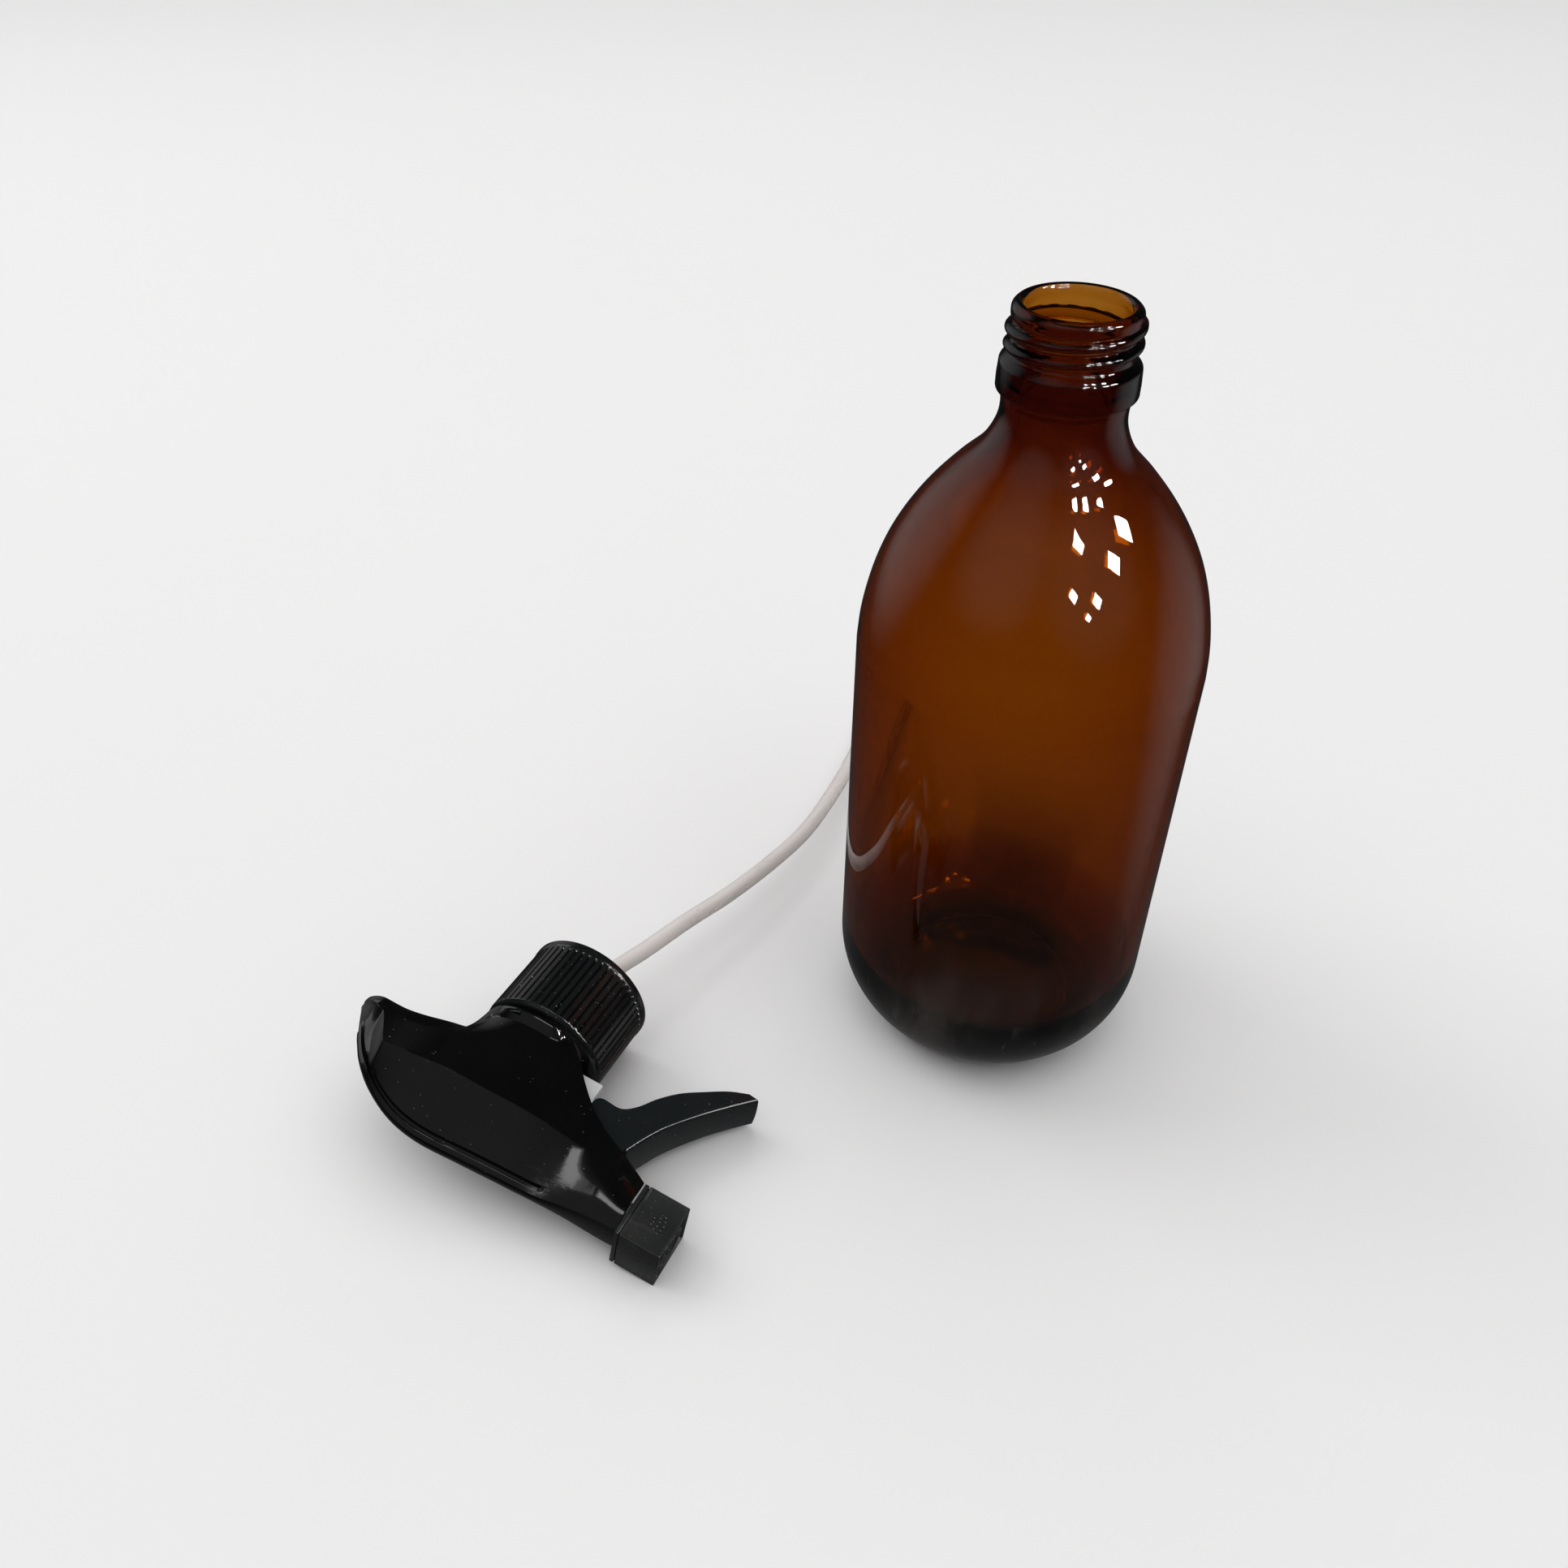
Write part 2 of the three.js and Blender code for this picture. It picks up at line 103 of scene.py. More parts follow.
# ---------------------------------------------------------------- curves and sections
def smoothstep(x, a, b):
    t = np.clip((np.asarray(x, float) - a) / (b - a), 0, 1)
    return t * t * (3 - 2 * t)


def lerp(a, b, t):
    return a + (b - a) * t


def curve(points, count):
    """Centripetal Catmull-Rom through the points, at count even steps of their index."""
    p = np.array(points, float)
    p = np.vstack([2 * p[0] - p[1], p, 2 * p[-1] - p[-2]])
    out = []
    for s in np.linspace(0, len(points) - 1, count):
        i = min(int(s), len(points) - 2)
        out.append(catmull(p[i:i + 4], s - i))
    return np.array(out)


def catmull(p, t):
    """The point at t, from 0 to 1, between the middle two of four points."""
    k = [0.0]
    for a, b in zip(p, p[1:]):
        k.append(k[-1] + max(1e-9, float(np.linalg.norm(b - a))) ** 0.5)
    x = lerp(k[1], k[2], t)

    def mix(a, b, i, j):
        return a * (k[j] - x) / (k[j] - k[i]) + b * (x - k[i]) / (k[j] - k[i])

    a1, a2, a3 = mix(p[0], p[1], 0, 1), mix(p[1], p[2], 1, 2), mix(p[2], p[3], 2, 3)
    b1, b2 = mix(a1, a2, 0, 2), mix(a2, a3, 1, 3)
    return mix(b1, b2, 1, 2)


def soften(points, radius, steps=4, closed=False):
    """The outline with each corner rounded off by about the radius."""
    p = [np.array(q, float) for q in points]
    n = len(p)
    out = []
    for i in range(n):
        if not closed and i in (0, n - 1):
            out.append(p[i])
            continue
        a, b, c = p[i - 1], p[i], p[(i + 1) % n]
        u, v = a - b, c - b
        du, dv = np.linalg.norm(u), np.linalg.norm(v)
        if np.dot(u, v) / (du * dv) < -0.985:
            out.append(b)
            continue
        start = b + u / du * min(radius, du * 0.45)
        end = b + v / dv * min(radius, dv * 0.45)
        for t in np.linspace(0, 1, steps + 1):
            out.append((1 - t) ** 2 * start + 2 * t * (1 - t) * b + t * t * end)
    return np.array(out)


def refine(points, step, low, high):
    """Adds points along the stretches between the two heights, no further apart than the step."""
    out = [points[0]]
    for a, b in zip(points, points[1:]):
        if low <= min(a[1], b[1]) and max(a[1], b[1]) <= high:
            count = max(1, int(math.ceil(np.linalg.norm(b - a) / step)))
        else:
            count = 1
        out.extend(a + (b - a) * k / count for k in range(1, count + 1))
    return np.array(out)


def swept_rings(path, radius, sides, side):
    """Rings square to the path, carried along it without a twist, and the direction at its end."""
    a = np.arange(sides) * TAU / sides
    rings = []
    for i, centre in enumerate(path):
        along = path[min(i + 1, len(path) - 1)] - path[max(i - 1, 0)]
        along = along / np.linalg.norm(along)
        side = side - along * np.dot(side, along)
        side = side / np.linalg.norm(side)
        other = np.cross(along, side)
        rings.append(centre + radius * (np.cos(a)[:, None] * side + np.sin(a)[:, None] * other))
    return rings, along


# ---------------------------------------------------------------- meshes
def grid_faces(rows, cols, wrap_rows, wrap_cols, first=0):
    faces = []
    for i in range(rows if wrap_rows else rows - 1):
        for j in range(cols if wrap_cols else cols - 1):
            a, b = i * cols + j, i * cols + (j + 1) % cols
            c, d = ((i + 1) % rows) * cols + (j + 1) % cols, ((i + 1) % rows) * cols + j
            faces.append((first + a, first + b, first + c, first + d))
    return faces


class Shape:
    """Vertices and faces gathered in millimetres, then made into one object."""

    def __init__(self):
        self.points = []
        self.faces = []

    def grid(self, points, wrap_rows=False, wrap_cols=False):
        points = np.asarray(points, float)
        rows, cols = points.shape[:2]
        self.faces += grid_faces(rows, cols, wrap_rows, wrap_cols, len(self.points))
        self.points += points.reshape(-1, 3).tolist()
        return self

    def turned(self, profile, at=(0, 0, 0), axis="z", segments=TURNED_SEGMENTS, radius=0.25, reach=None):
        """A solid of revolution from a closed (or pole to pole) outline of [radius, height]."""
        closed = profile[0][0] > 1e-6
        line = soften(profile, radius, 3, closed) if radius else np.array(profile, float)
        angle = np.arange(segments) * TAU / segments
        r = np.repeat(line[:, :1], segments, 1)
        h = np.repeat(line[:, 1:], segments, 1)
        if reach:
            r = reach(r, h, np.repeat(angle[None], len(line), 0))
        points = np.stack([r * np.cos(angle), r * np.sin(angle), h], 2)
        if axis == "x":
            points = points[..., [2, 1, 0]] * [1, 1, -1]
        if axis == "y_out":
            points = points[..., [0, 2, 1]] * [1, 1, -1]
        return self.grid(points + np.array(at, float), closed, True)

    def block(self, low, high, bevel):
        """A block with rounded edges."""
        bm = bmesh.new()
        bmesh.ops.create_cube(bm, size=1)
        size = np.array(high, float) - np.array(low, float)
        centre = (np.array(high, float) + np.array(low, float)) / 2
        for v in bm.verts:
            v.co = Vector(np.array(v.co) * size + centre)
        bmesh.ops.bevel(bm, geom=bm.edges[:], offset=bevel, segments=2, affect="EDGES", profile=0.5)
        return self.take(bm)

    def take(self, bm):
        """Takes over a bmesh's vertices and faces, and frees it."""
        bm.verts.index_update()
        first = len(self.points)
        self.points += [list(v.co) for v in bm.verts]
        self.faces += [[first + v.index for v in f.verts] for f in bm.faces]
        bm.free()
        return self

    def tube(self, path, radius, sides=10):
        """A round bar along a path, closed to a point at both ends."""
        first = path[1] - path[0]
        rings, _ = swept_rings(path, radius, sides, np.cross(first / np.linalg.norm(first), [0.3, 0.2, 0.9]))
        ends = [np.repeat(path[[i]], sides, 0) for i in (0, -1)]
        return self.grid(np.array([ends[0], *rings, ends[1]]), False, True)

    def object(self, name, matrix, sharp=35.0, thickness=None, bevel=None):
        """The gathered mesh as an object whose vertices are already in the row frame, in metres."""
        bm = bmesh.new()
        made = [bm.verts.new(matrix @ (Vector(p) * MM)) for p in self.points]
        for face in self.faces:
            ring = [made[i] for i in face]
            if len(set(ring)) > 2:
                bm.faces.new(ring)
        bmesh.ops.remove_doubles(bm, verts=bm.verts[:], dist=1e-7)
        bmesh.ops.dissolve_degenerate(bm, dist=1e-7, edges=bm.edges[:])
        loose = [v for v in bm.verts if not v.link_faces]
        bmesh.ops.delete(bm, geom=loose, context="VERTS")
        bmesh.ops.recalc_face_normals(bm, faces=bm.faces[:])
        mesh = bpy.data.meshes.new(name)
        bm.to_mesh(mesh)
        bm.free()
        obj = bpy.data.objects.new(name, mesh)
        bpy.context.scene.collection.objects.link(obj)
        if thickness:
            wall = obj.modifiers.new("wall", "SOLIDIFY")
            wall.thickness = thickness * MM
            wall.offset = -1
            wall.use_even_offset = False
        if bevel:
            edge = obj.modifiers.new("edge", "BEVEL")
            edge.width = bevel * MM
            edge.segments = 2
            edge.limit_method = "ANGLE"
            edge.angle_limit = math.radians(50)
        if thickness or bevel:
            bake(obj)
        obj.data.shade_smooth()
        obj.data.set_sharp_from_angle(angle=math.radians(sharp))
        return obj


def bake(obj):
    """Puts the modifiers' result in the mesh."""
    seen = obj.evaluated_get(bpy.context.evaluated_depsgraph_get())
    mesh = bpy.data.meshes.new_from_object(seen)
    obj.modifiers.clear()
    obj.data = mesh


def place(obj, body, look, slot, *nodes):
    """Gives a piece its material, its body and the CAD nodes that it stands for."""
    obj.data.materials.clear()
    obj.data.materials.append(look)
    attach(obj, body)
    if nodes:
        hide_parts(*nodes)
    return obj


# ---------------------------------------------------------------- materials
class Look:
    """A material with a principled shader, and short calls for the nodes that feed it."""

    def __init__(self, name, **values):
        self.material = bpy.data.materials.new(name)
        self.material.use_nodes = True
        self.tree = self.material.node_tree
        self.shader = self.tree.nodes["Principled BSDF"]
        self.place = self.add("ShaderNodeTexCoord").outputs["Object"]
        for key, value in values.items():
            self.set(key.replace("_", " "), value)

    def set(self, key, value):
        socket = self.shader.inputs[key]
        if isinstance(value, bpy.types.NodeSocket):
            self.tree.links.new(value, socket)
        else:
            socket.default_value = (*value, 1) if isinstance(value, tuple) and len(value) == 3 else value

    def add(self, kind, inputs=None, **options):
        node = self.tree.nodes.new(kind)
        for key, value in options.items():
            setattr(node, key, value)
        for key, value in (inputs or {}).items():
            if isinstance(value, bpy.types.NodeSocket):
                self.tree.links.new(value, node.inputs[key])
            else:
                node.inputs[key].default_value = value
        return node

    def noise(self, scale, detail=4.0, stretch=None):
        place = self.place
        if stretch:
            place = self.add("ShaderNodeMapping", {"Vector": place, "Scale": stretch}).outputs[0]
        return self.add("ShaderNodeTexNoise", {"Vector": place, "Scale": scale, "Detail": detail}).outputs[0]

    def ramp(self, value, low, high, start=0.0, end=1.0):
        inputs = {"Value": value, "From Min": low, "From Max": high, "To Min": start, "To Max": end}
        return self.add("ShaderNodeMapRange", inputs, interpolation_type="SMOOTHSTEP").outputs[0]

    def math(self, kind, a, b):
        return self.add("ShaderNodeMath", {0: a, 1: b}, operation=kind).outputs[0]

    def mix(self, share, a, b):
        node = self.add("ShaderNodeMix", {"Factor": share}, data_type="RGBA")
        for socket, value in ((node.inputs[6], a), (node.inputs[7], b)):
            if isinstance(value, bpy.types.NodeSocket):
                self.tree.links.new(value, socket)
            else:
                socket.default_value = (*value, 1)
        return node.outputs[2]

    def axis(self, name):
        return self.add("ShaderNodeSeparateXYZ", {0: self.place}).outputs[name]

    def specks(self, scale, size, share):
        """Round specks: their radius in cells, and the share of the cells that hold one."""
        cells = self.add("ShaderNodeTexVoronoi", {"Vector": self.place, "Scale": scale, "Randomness": 1.0})
        near = self.ramp(cells.outputs["Distance"], size * 0.5, size, 1.0, 0.0)
        red = self.add("ShaderNodeSeparateColor", {0: cells.outputs["Color"]}).outputs[0]
        return self.math("MULTIPLY", near, self.math("LESS_THAN", red, share))

    def bump(self, height, strength, distance):
        inputs = {"Height": height, "Strength": strength, "Distance": distance}
        self.set("Normal", self.add("ShaderNodeBump", inputs).outputs[0])


def black_plastic(name, gloss, dust, haze, dark=(0.0014, 0.0016, 0.0018), pale=(0.0038, 0.0038, 0.0040)):
    """Moulded black polypropylene: a faint orange peel, hairline scuffs, haze and specks of dust.
    Gloss is the least roughness, haze what wear adds to it, and dust the share of dusty cells. Dark and pale
    bound the mottled tone, and how light they are is set part by part as painted light and shade."""
    look = Look(name, Specular_IOR_Level=0.5, IOR=1.49)
    wear = look.noise(60.0, 6.0)
    scuff = look.ramp(look.noise(420.0, 3.0, (0.25, 1.0, 1.6)), 0.60, 0.74)
    grime = look.specks(620.0, 0.16, dust)
    fine = look.specks(1900.0, 0.22, dust * 1.5)
    dirt = look.math("MAXIMUM", grime, fine)
    # The mottle follows wear; the tone's overall level, set per part, is painted light and shade.
    tone_with_painted_light = look.mix(wear, dark, pale)
    look.set("Base Color", look.mix(dirt, tone_with_painted_light, (0.16, 0.155, 0.15)))
    rough = look.ramp(wear, 0.3, 0.75, gloss, gloss + haze)
    rough = look.math("ADD", rough, look.math("MULTIPLY", scuff, haze * 0.8))
    look.set("Roughness", look.math("ADD", rough, look.math("MULTIPLY", dirt, 0.4)))
    height = look.math("ADD", look.noise(900.0, 2.0), look.math("MULTIPLY", dirt, 0.8))
    look.bump(height, 0.05, 0.00012)
    return look.material


def amber_glass():
    """Brown bottle glass: darker at the neck by painted shade, clear and glossy below it, and towards the
    heel dusty and darkened by painted shade.
    """
    look = Look("amber_bottle_glass", IOR=1.5)
    height = look.axis("Z")
    low = look.ramp(height, 0.004, 0.062, 1.0, 0.0)
    smear = look.ramp(look.noise(38.0, 6.0, (1.0, 1.0, 0.35)), 0.42, 0.78)
    scratch = look.ramp(look.noise(700.0, 3.0, (1.0, 1.0, 0.18)), 0.58, 0.72)
    dust = look.math("MAXIMUM", look.specks(700.0, 0.14, 0.12), look.math("MULTIPLY", scratch, 0.35))
    film = look.math("MULTIPLY", low, look.math("ADD", smear, dust))
    rough = look.math("ADD", 0.012, look.math("MULTIPLY", film, 0.16))
    look.set("Roughness", look.math("ADD", rough, look.math("MULTIPLY", smear, 0.012)))
    # Painted shade: the base colour darkens towards the heel, standing in for the shadowed floor seen through
    # the glass; the smear only mottles it.
    shade = look.math("MULTIPLY", low, look.ramp(smear, -0.6, 0.7))
    haze = look.math("MULTIPLY", look.ramp(film, 0.05, 1.1), 0.10)
    look.set("Transmission Weight", look.math("SUBTRACT", 1.0, haze))
    # Painted shade: the base colour darkens over the neck and finish; the glass itself is the same colour all
    # the way up.
    neck = look.ramp(height, 0.120, 0.168, 0.0, 1.0)
    clear = look.mix(neck, (1.0, 0.97, 0.93), (0.70, 0.52, 0.38))
    look.set("Base Color", look.mix(shade, clear, (0.30, 0.22, 0.18)))
    waves = look.noise(26.0, 2.0, (1.0, 1.0, 0.5))
    pits = look.math("MULTIPLY", look.math("MULTIPLY", dust, low), 0.25)
    look.bump(look.math("ADD", waves, pits), 0.10, 0.0006)
    inside = look.add("ShaderNodeVolumeAbsorption")
    inside.inputs["Color"].default_value = (0.785, 0.60, 0.02, 1)
    inside.inputs["Density"].default_value = 1500.0     # to the metre
    out = look.tree.nodes["Material Output"]
    look.tree.links.new(inside.outputs[0], out.inputs["Volume"])
    return look.material


def natural_plastic(name, low, high, rough):
    """Unpigmented polypropylene: milky, a little translucent, with flow marks."""
    look = Look(name, Subsurface_Weight=0.35, Subsurface_Scale=0.002, IOR=1.49)
    flow = look.noise(90.0, 5.0, (0.4, 1.0, 1.0))
    look.set("Base Color", look.mix(flow, low, high))
    look.set("Roughness", look.ramp(look.noise(240.0), 0.3, 0.7, rough, rough + 0.15))
    look.bump(look.noise(700.0, 2.0), 0.08, 0.0001)
    return look.material


def milky_tube():
    """Clear-white polyethylene tube: light passes through it, with faint drawn lines along it."""
    look = Look("milky_polyethylene", Transmission_Weight=0.22, IOR=1.42)
    streak = look.noise(150.0, 4.0, (1.0, 0.15, 1.0))
    look.set("Base Color", look.mix(streak, (0.74, 0.68, 0.65), (0.90, 0.86, 0.84)))
    look.set("Roughness", look.ramp(streak, 0.3, 0.7, 0.22, 0.38))
    look.bump(streak, 0.12, 0.0002)
    return look.material


def seal_rubber():
    look = Look("white_seal_rubber", IOR=1.45)
    look.set("Base Color", look.mix(look.noise(160.0), (0.66, 0.65, 0.61), (0.80, 0.79, 0.76)))
    look.set("Roughness", look.ramp(look.noise(400.0), 0.3, 0.7, 0.5, 0.7))
    look.bump(look.noise(1200.0), 0.15, 0.0001)
    return look.material


def spring_steel():
    look = Look("spring_steel", Metallic=1.0)
    grain = look.noise(800.0, 3.0, (1.0, 1.0, 0.2))
    look.set("Base Color", look.mix(grain, (0.46, 0.46, 0.45), (0.62, 0.62, 0.61)))
    look.set("Roughness", look.ramp(grain, 0.3, 0.7, 0.18, 0.38))
    look.bump(grain, 0.08, 0.0001)
    return look.material


AMBER = amber_glass()
# One black plastic in four copies: the lighter base tones of the collar, nozzle and trigger copies are
# painted light, and the shroud's darker one is painted shade.
BLACK = black_plastic("black_gloss_plastic", 0.045, 0.012, 0.06)
BLACK_RIBBED = black_plastic("black_ribbed_plastic", 0.10, 0.06, 0.12, (0.005, 0.0055, 0.0058),
                             (0.010, 0.011, 0.011))
BLACK_NOZZLE = black_plastic("black_satin_plastic", 0.20, 0.05, 0.18, (0.011, 0.012, 0.012),
                             (0.018, 0.019, 0.019))
BLACK_TRIGGER = black_plastic("black_trigger_plastic", 0.12, 0.03, 0.10, (0.007, 0.009, 0.010),
                              (0.011, 0.013, 0.0135))
GREY = natural_plastic("natural_polypropylene", (0.58, 0.59, 0.60), (0.74, 0.75, 0.75), 0.30)
MILKY = milky_tube()
SEAL = seal_rubber()
STEEL = spring_steel()


# ---------------------------------------------------------------- dip tube
TUBE_ROUTE = [
    (-41.7, -35.5, 16.8), (-41.7, -29, 16.8), (-41.5, -21, 16.7), (-39.8, -11.5, 16.3), (-37.0, -2.2, 15.6),
    (-32.7, 14.4, 14.4), (-28.1, 29.9, 13.1), (-24.2, 48.6, 11.5), (-22.0, 67.4, 9.7), (-22.7, 87.2, 7.7),
    (-25.5, 113.5, 5.4), (-28.6, 131, 3.9), (-31.6, 146, 2.8), (-33.4, 155, 2.5),
]
TUBE_OUTER = 2.25
TUBE_INNER = 1.5
TUBE_SIDES = 40
TUBE_SLANT = 0.7                    # how far the free end's cut leans, each way


def tube_rings(path, radius):
    """Rings of one wall along the path, with the free end cut on the slant."""
    rings, along = swept_rings(path, radius, TUBE_SIDES, np.array([1.0, 0.0, 0.0]))
    a = np.arange(TUBE_SIDES) * TAU / TUBE_SIDES
    rings[-1] = rings[-1] + along * (np.sin(a) * TUBE_SLANT * radius / TUBE_OUTER - TUBE_SLANT)[:, None]
    return rings


def make_dip_tube():
    path = curve(TUBE_ROUTE, 131)
    outer = tube_rings(path, TUBE_OUTER)
    inner = tube_rings(path, TUBE_INNER)
    shape = Shape().grid(np.array(outer + inner[::-1]), True, True)
    obj = shape.object("dip_tube_milky", ROW, 50)
    place(obj, "sprayer_body", MILKY, "milky_tube", "dip_tube")


# ---------------------------------------------------------------- bottle
HEIGHT = 190.9
RADIUS = 39.5
WALL = 2.6
HEEL = (10.5, 23.9, 29.0)           # centre radius, centre height, arc radius
SHOULDER_Z = (113.0, 173.4)
SHOULDER_R = [39.5, 39.0, 37.9, 36.3, 34.0, 30.8, 26.7, 21.6, 15.9, 13.2, 13.0]
FINISH = 12.4                       # radius under the thread
THREAD_HEIGHT = 1.35
THREAD_FROM = 3.6                   # radians round the neck
THREAD = {"start": 181.9, "pitch": 3.2, "turns": 1.75, "half": 1.25}
SEAM_ANGLE = math.radians(-23)
SEAM_HEIGHT = 0.09
SEAM_WIDTH = 0.006                  # radians
NECK_RINGS = (171.4, 169.6, 167.2)
RING_HEIGHT = 0.08
RING_WIDTH = 0.28


def arc(centre_r, centre_z, radius, start, end, count):
    a = np.radians(np.linspace(start, end, count))
    return np.stack([centre_r + radius * np.cos(a), centre_z + radius * np.sin(a)], 1)


def shoulder_curve(inset):
    """The shoulder's wall, thicker towards the neck on the inside."""
    z = np.linspace(*SHOULDER_Z, len(SHOULDER_R))
    part = np.linspace(0, 1, len(z))
    r = np.array(SHOULDER_R) - inset * (1 + 0.38 * smoothstep(part, 0.6, 1.0))
    return curve(np.stack([r, z - inset * 0.5 * part], 1), 81)


def bottle_profile():
    """The glass's section: up the outside from the middle of the base, over the lip and down inside."""
    base = soften([(0, 4.5), (9, 4.0), (16, 2.4), (20.5, 0.5), (21.8, 0), (25.0, 0), (28.4, 1.15)], 2.0)[:-1]
    heel = arc(*HEEL, -51, 0, 24)
    body = np.array([(RADIUS, z) for z in np.linspace(26, 110, 24)])
    bead = soften([(13.0, 173.1), (14.4, 173.5), (14.4, 176.0), (14.2, 179.3), (12.9, 180.7)], 0.45, 5)
    lip = soften([(FINISH, 181.0), (FINISH, 187.2), (12.9, 188.0), (12.9, 189.9), (11.9, HEIGHT),
                  (11.0, HEIGHT), (10.4, 190.0), (10.3, 188.4), (9.6, 185.6), (9.4, 170.5)], 0.6, 5)
    neck = np.vstack([bead, lip])
    inner = shoulder_curve(WALL)[::-1]
    inner_heel = arc(HEEL[0], HEEL[1] + 5, HEEL[2] - WALL, 0, -44, 18)
    floor = soften([(24, 9.4), (16, 10.6), (8, 11.8), (0, 12.2)], 3.0)
    outer = np.vstack([base, heel, body, shoulder_curve(0.0)[:-1], refine(neck, 0.18, 180.8, 188.0)])
    inner_body = np.array([(RADIUS - WALL, z) for z in np.linspace(110, 31, 16)])
    return np.vstack([outer, inner[1:], inner_body, inner_heel, floor])


def wound(height, angle, start, pitch, turns, half):
    """How far a helical ridge rises at a height and angle, from 0 to 1."""
    rise = np.zeros_like(height)
    for k in range(int(math.ceil(turns)) + 1):
        along = k + angle / TAU
        off = (height - (start + pitch * along)) / half
        ends = smoothstep(along, 0.0, 0.12) * (1 - smoothstep(along, turns - 0.12, turns))
        rise = np.maximum(rise, np.clip(1 - off * off, 0, 1) ** 0.8 * ends)
    return rise


def glass_reach(r, h, angle):
    """The glass's radius with its thread, its two mould seams and the fine rings on the neck."""
    on_finish = (r > 12.0) & (h > 180.6) & (h < 188.0)
    thread = THREAD_HEIGHT * wound(h, (angle + THREAD_FROM) % TAU, **THREAD)
    off_seam = np.abs((angle - SEAM_ANGLE + math.pi / 2) % math.pi - math.pi / 2)
    seam = SEAM_HEIGHT * np.exp(-(off_seam / SEAM_WIDTH) ** 2)
    seam = seam * ((h > 4) & (h < 173) & (r > 12))
    outside = r > np.interp(h, [0, 24, 113, 173], [24, 37.8, 37.8, 11.6])
    rings = sum(RING_HEIGHT * np.exp(-((h - z) / RING_WIDTH) ** 2) for z in NECK_RINGS)
    return r + np.where(on_finish, thread, 0) + (seam + rings) * outside


def make_bottle():
    shape = Shape().turned(bottle_profile(), segments=GLASS_SEGMENTS * 2, radius=0, reach=glass_reach)
    place(shape.object("bottle_glass", BOTTLE, 60), "bottle_body", AMBER, "amber_glass", "bottle")


# ---------------------------------------------------------------- collar
RIBS = 54
COLLAR_RIM = 16.8
COLLAR_BODY = 16.6
COLLAR_LOW = -23.4
RIB_DEPTH = 0.75
COLLAR_THREAD_DEPTH = 0.9
COLLAR_THREAD = {"start": -19.5, "pitch": 3.2, "turns": 2.2, "half": 1.0}


def collar_reach(r, h, angle):
    """The collar's radius with the grooves between its ribs outside and the thread inside."""
    t = (angle * RIBS / TAU) % 1
    groove = np.clip(1 - np.abs(t - 0.5) / 0.2, 0, 1) ** 0.7
    fade = smoothstep(h, COLLAR_LOW + 2.0, COLLAR_LOW + 2.9) * (1 - smoothstep(h, -2.3, -1.5))
    r = r - np.where(r > 16.0, RIB_DEPTH * groove * fade, 0)
    thread = wound(h, (TAU - angle) % TAU, **COLLAR_THREAD)
    return r - np.where((r < 14.7) & (h < -4), COLLAR_THREAD_DEPTH * thread, 0)


def make_collar():
    outline = soften([(14.9, COLLAR_LOW), (COLLAR_RIM, COLLAR_LOW), (COLLAR_RIM, COLLAR_LOW + 1.6),
                      (COLLAR_BODY, COLLAR_LOW + 2.0), (COLLAR_BODY, -1.5), (15.7, -0.6), (10.6, -0.6),
                      (10.6, -3.2), (14.5, -3.2), (14.5, COLLAR_LOW + 0.4)], 0.3, 3, True)
    outline = refine(np.vstack([outline, outline[:1]]), 0.35, COLLAR_LOW, -0.5)[:-1]
    shape = Shape().turned(outline, segments=RIBS * 10, radius=0, reach=collar_reach)
    obj = shape.object("collar_ribbed", SPRAY, 40)
    place(obj, "collar_body", BLACK_RIBBED, "gloss_black", "screw_collar")


# ---------------------------------------------------------------- shroud
TAIL_EDGE = [(-43.9, 12.4), (-43.5, 11.5), (-42.4, 10.9), (-38, 10.9), (-30, 11.6), (-23, 10.6),
             (-18.6, 8.2), (-16.3, 4.8), (-14.9, 2.0), (-14.3, 0.6), (-13.4, 0.4)]
FRONT_EDGE = [(9.0, 0.4), (13.0, 3.6), (17.2, 7.6), (21.6, 11.2), (26.6, 14.3), (33.5, 17.3),
              (40.0, 19.8), (41.7, 20.6)]
RIDGE = [(-43.9, 12.8), (-42.6, 14.8), (-39.5, 19.6), (-35, 25.0), (-30, 29.0), (-25, 31.9), (-20, 34.0),
         (-15, 35.2), (-9, 35.7), (0, 35.2), (10, 34.6), (20, 34.0), (30, 33.0), (41.7, 32.5)]
RIDGE_HALF = (1.3, 3.7)             # behind, and in front where the panel flares
RIDGE_CROWN = 0.25
SKIRT_REAR = 16.6
TAIL_TIP = -43.9
TAIL_END = -43.35                   # where the shell's rows start and its cap closes them
TAIL_NOSE = 6.4                     # length over which the tail's plan rounds off
TAIL_CAP = [(0.0, 0.45), (0.45, 0.4), (0.8, 0.22)]      # share of the first row's size, and how far back
LIP_BAND = 2.4
LIP_END = 9.6
GROOVE_END = 22.0
GROOVE_DEPTH = 0.75


def lower_edge():
    """The shroud's lower edge in side view, evenly walked from the tail tip to the nozzle."""
    line = np.vstack([curve(TAIL_EDGE, 200), [(x, 0.4) for x in np.linspace(-13, 8.4, 60)],
                      curve(FRONT_EDGE, 120)])
    line = line[line[:, 0] > TAIL_END]
    walked = np.concatenate([[0], np.cumsum(np.linalg.norm(np.diff(line, axis=0), axis=1))])
    even = np.linspace(0, walked[-1], 260)
    return np.stack([np.interp(even, walked, line[:, 0]), np.interp(even, walked, line[:, 1])], 1)


